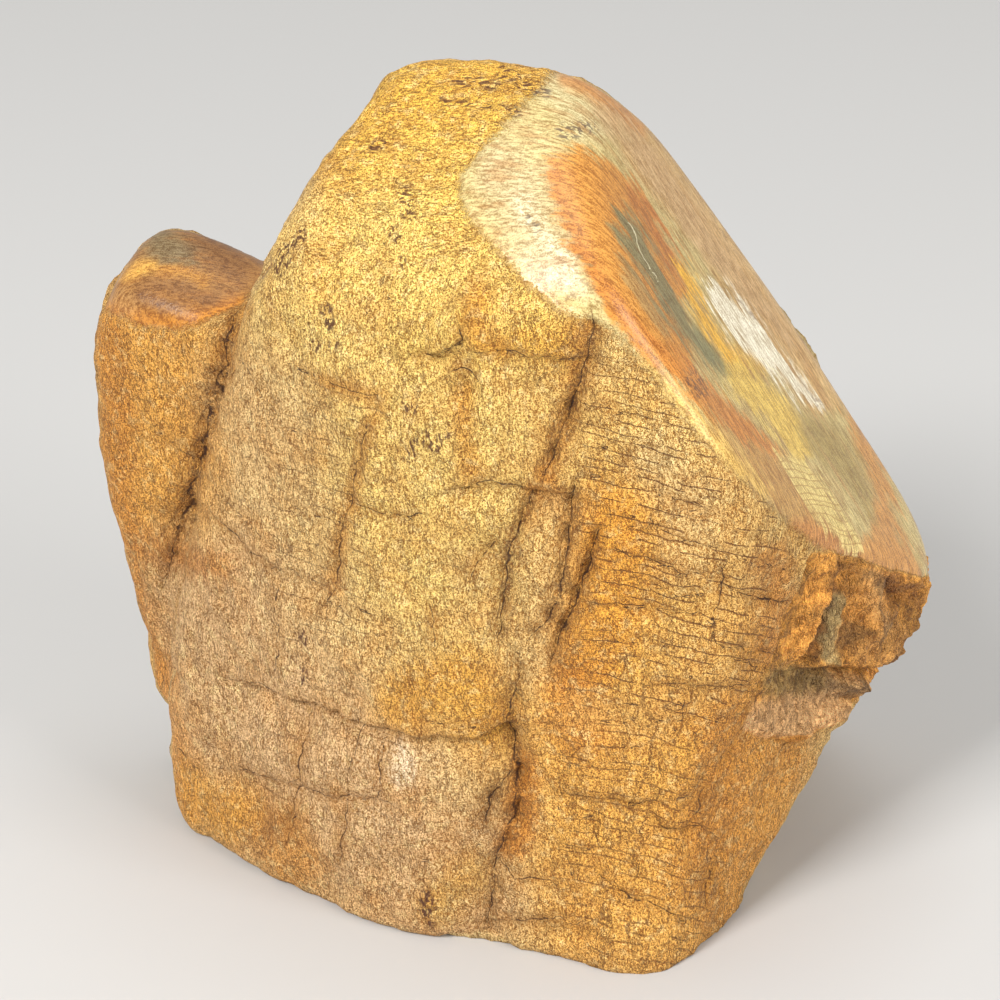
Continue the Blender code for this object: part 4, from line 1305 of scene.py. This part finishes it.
def check_lines(level_mm, spacing_mm, half_width, breaks, strength):
    """Parallel lines at uneven distances, broken by a noise."""
    cells = add(tree, "ShaderNodeTexVoronoi", {"W": level_mm, "Scale": 1.0 / spacing_mm},
                voronoi_dimensions="1D", feature="DISTANCE_TO_EDGE")
    half = half_width / spacing_mm
    return times(between(cells.outputs["Distance"], half * 1.3, half * 0.5),
                 times(breaks, strength))


wavy = stretched(jitter_noise, 0.6, LEVEL)
across_space = joined(times(X, 0.12), times(Y, 0.12), times(LEVEL, 0.55))
across_breaks = between(pattern(across_space, 1.0, 1.0), 0.43, 0.51)
check_across = check_lines(wavy, 2.5, 0.15, across_breaks, layer("checks across"))
upright = stretched(Y, 0.8, stretched(Z, -0.16, X))
upright = stretched(mottle, 4.0, stretched(jitter_noise, 1.0, upright))
down_space = joined(times(upright, 0.4), times(Z, 0.11))
down_breaks = between(pattern(down_space, 1.0, 1.0), 0.50, 0.57)
check_down = check_lines(upright, 5.0, 0.20, down_breaks, layer("checks down"))
strand = check_lines(stretched(Z, -0.12, upright), 1.7, 0.13, between(mottle, 0.40, 0.54),
                     layer("furrow zone"))
check_line = maths("MAXIMUM", maths("MAXIMUM", check_across, check_down), strand)
rind_colour = coated(rind_colour, check_line, 0.80, "#74420F")
rind_colour = coated(rind_colour, line, 0.88, "#452208")

# %% Specks and the break
speck_mask = times(between(pattern(GRAIN, 0.70, 1.0), 0.49, 0.58),
                   between(layer("specks"), 0.15, 0.75))
rind_colour = coated(rind_colour, speck_mask, 0.85, "#5A2A16")
BROKEN = layer("broken")
break_grain = plus(times(sugar, 0.5), times(mottle, 0.5))
DARK_BREAK, PALE_BREAK = (0.50, 0.38, 0.22, 1.0), (1.60, 1.56, 1.45, 1.0)
break_multiplier = mixed(between(break_grain, 0.38, 0.62), DARK_BREAK, PALE_BREAK)
break_tint = mixed(1.0, layer("rind tint", "Color"), break_multiplier, "MULTIPLY")
rind_colour = mixed(BROKEN, rind_colour, break_tint)

# %% [markdown]
# ### Polished faces
# Growth lines follow the face as streaks, fine ones of 0.5 mm and broad ones of 2 mm. The
# streaks fray the edge of every band, so no edge looks drawn with a ruler. In the pale
# comb near the break, short brown teeth cross the streaks.

# %% Polish colour
streak_fine = pattern(FACE, 0.50, 3.0, 0.7)
streak_wide = pattern(FACE, 2.2, 3.0, 0.65)
fray = plus(stretched(streak_wide, 10.0, -5.0), stretched(streak_fine, 4.4, -2.2))
polish_colour = layer("polish tint", "Color")
polish_colour = mixed(between(streak_wide, 0.52, 0.34, 0.0, 0.50), polish_colour, paint("#B8803E"))
for name, (hex_colour, strength, softness, _) in SHARP_BANDS.items():
    inside = plus(layer(name), fray)
    cover = between(inside, -softness, softness, 0.0, strength)
    polish_colour = mixed(cover, polish_colour, paint(hex_colour))
streak_tone = plus(times(streak_fine, 0.55), times(sugar, 0.45))
DARK_STREAK, PALE_STREAK = (0.50, 0.38, 0.24, 1.0), (1.16, 1.15, 1.14, 1.0)
streak_multiplier = mixed(between(streak_tone, 0.40, 0.59), DARK_STREAK, PALE_STREAK)
polish_colour = mixed(1.0, polish_colour, streak_multiplier, "MULTIPLY")
vein_jitter = stretched(jitter_noise, 3.0, -1.5)
comb_cover = between(plus(layer("comb"), fray), -0.8, 0.8)
teeth = check_lines(stretched(streak_fine, 0.4, LEVEL), 1.5, 0.15, comb_cover, 0.6)
polish_colour = mixed(teeth, polish_colour, paint("#A8742E"))
dark_line = drawn_line("dark vein", vein_jitter, 2.2, 0.2)
dark_line = times(dark_line, between(streak_wide, 0.40, 0.55))
polish_colour = coated(polish_colour, dark_line, 0.55, "#7C4E22")
pale_line = drawn_line("pale vein", vein_jitter, 1.8, 0.3)
pale_line = times(pale_line, between(streak_wide, 0.35, 0.5))
polish_colour = coated(polish_colour, pale_line, 0.75, "#FBEFC4")
polish_colour = coated(polish_colour, speck_mask, 0.7, "#54403A")
polish_colour = coated(polish_colour, line, 0.75, "#7A5020")

# %% Join rind and polish
edge_fray = stretched(jitter_noise, 5.0, -2.5)
POLISH = between(plus(layer("polish mm"), edge_fray), -1.4, 0.8)
tree.links.new(mixed(POLISH, rind_colour, polish_colour), shader.inputs["Base Color"])
rind_rough = between(sugar, 0.3, 0.7, 0.84, 0.66)
polish_rough = between(mottle, 0.3, 0.7, 0.38, 0.30)
rough_mix = add(tree, "ShaderNodeMix", {0: POLISH, 2: rind_rough, 3: polish_rough}, data_type="FLOAT")
tree.links.new(rough_mix.outputs[0], shader.inputs["Roughness"])

# %% [markdown]
# ### Fine relief in the material
# Relief finer than the skin's squares is given as bump: sugary grain and fibres, wrinkles,
# and the sharp bottoms of the cracks. The polish keeps almost none.

# %% Bump, in millimetres
fine = times(grain_tone, 0.80)
fine = stretched(between(wrinkle, 0.0, 0.10), stretched(BROKEN, 0.45, 0.28), fine)
fine = stretched(crease_line, -0.25, fine)
fine = stretched(check_line, -0.30, fine)
fine = stretched(line, -0.50, fine)
fine = times(fine, stretched(POLISH, -0.96, 1.0))
METRES = 0.001
bump = add(tree, "ShaderNodeBump", {"Height": times(fine, METRES), "Strength": 1.0,
                                   "Distance": 1.0})
tree.links.new(bump.outputs["Normal"], shader.inputs["Normal"])
skin_mesh.materials.clear()
skin_mesh.materials.append(petrified)
print("material nodes", len(tree.nodes))

# %% [markdown]
# ## Put the stone in the frame
# The carved skin stands for the measured solid, which stays for collision and mass.

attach(skin, "root")
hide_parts("petrified_wood")

# %% [markdown]
# ## Floor and light
# A plain pale floor and soft studio light, mainly from the upper left and the front, as
# the highlights in the photograph show, with a weaker fill from the right.

# %% Floor
bpy.ops.mesh.primitive_plane_add(size=8.0, location=(0.0, 0.0, 0.0))
floor = bpy.context.object
floor.name = "floor"
floor_material = bpy.data.materials.new("pale matt floor")
floor_material.use_nodes = True
floor_shader = floor_material.node_tree.nodes["Principled BSDF"]
floor_shader.inputs["Base Color"].default_value = paint("#C9C8C6")
floor_shader.inputs["Roughness"].default_value = 0.85
floor.data.materials.append(floor_material)


# %% Lights
def soft_light(name, location, size, power):
    """A square area light that looks at the middle of the stone."""
    data = bpy.data.lights.new(name, "AREA")
    data.size = size
    data.energy = power
    lamp = bpy.data.objects.new(name, data)
    lamp.location = location
    aim = Vector((0.0, 0.0, 0.09)) - Vector(location)
    lamp.rotation_euler = aim.to_track_quat("-Z", "Y").to_euler()
    bpy.context.scene.collection.objects.link(lamp)
    return lamp


soft_light("key from the upper left", (-0.95, -1.35, 1.55), 0.60, 42.0)
soft_light("fill from the right", (1.50, -1.20, 1.10), 1.00, 22.0)
soft_light("top", (0.10, 0.20, 1.90), 1.00, 8.0)
world = bpy.data.worlds.new("studio")
world.use_nodes = True
background = world.node_tree.nodes["Background"]
background.inputs["Color"].default_value = (0.95, 0.94, 0.92, 1.0)
background.inputs["Strength"].default_value = 0.46
bpy.context.scene.world = world
bpy.context.scene.view_settings.view_transform = "Standard"
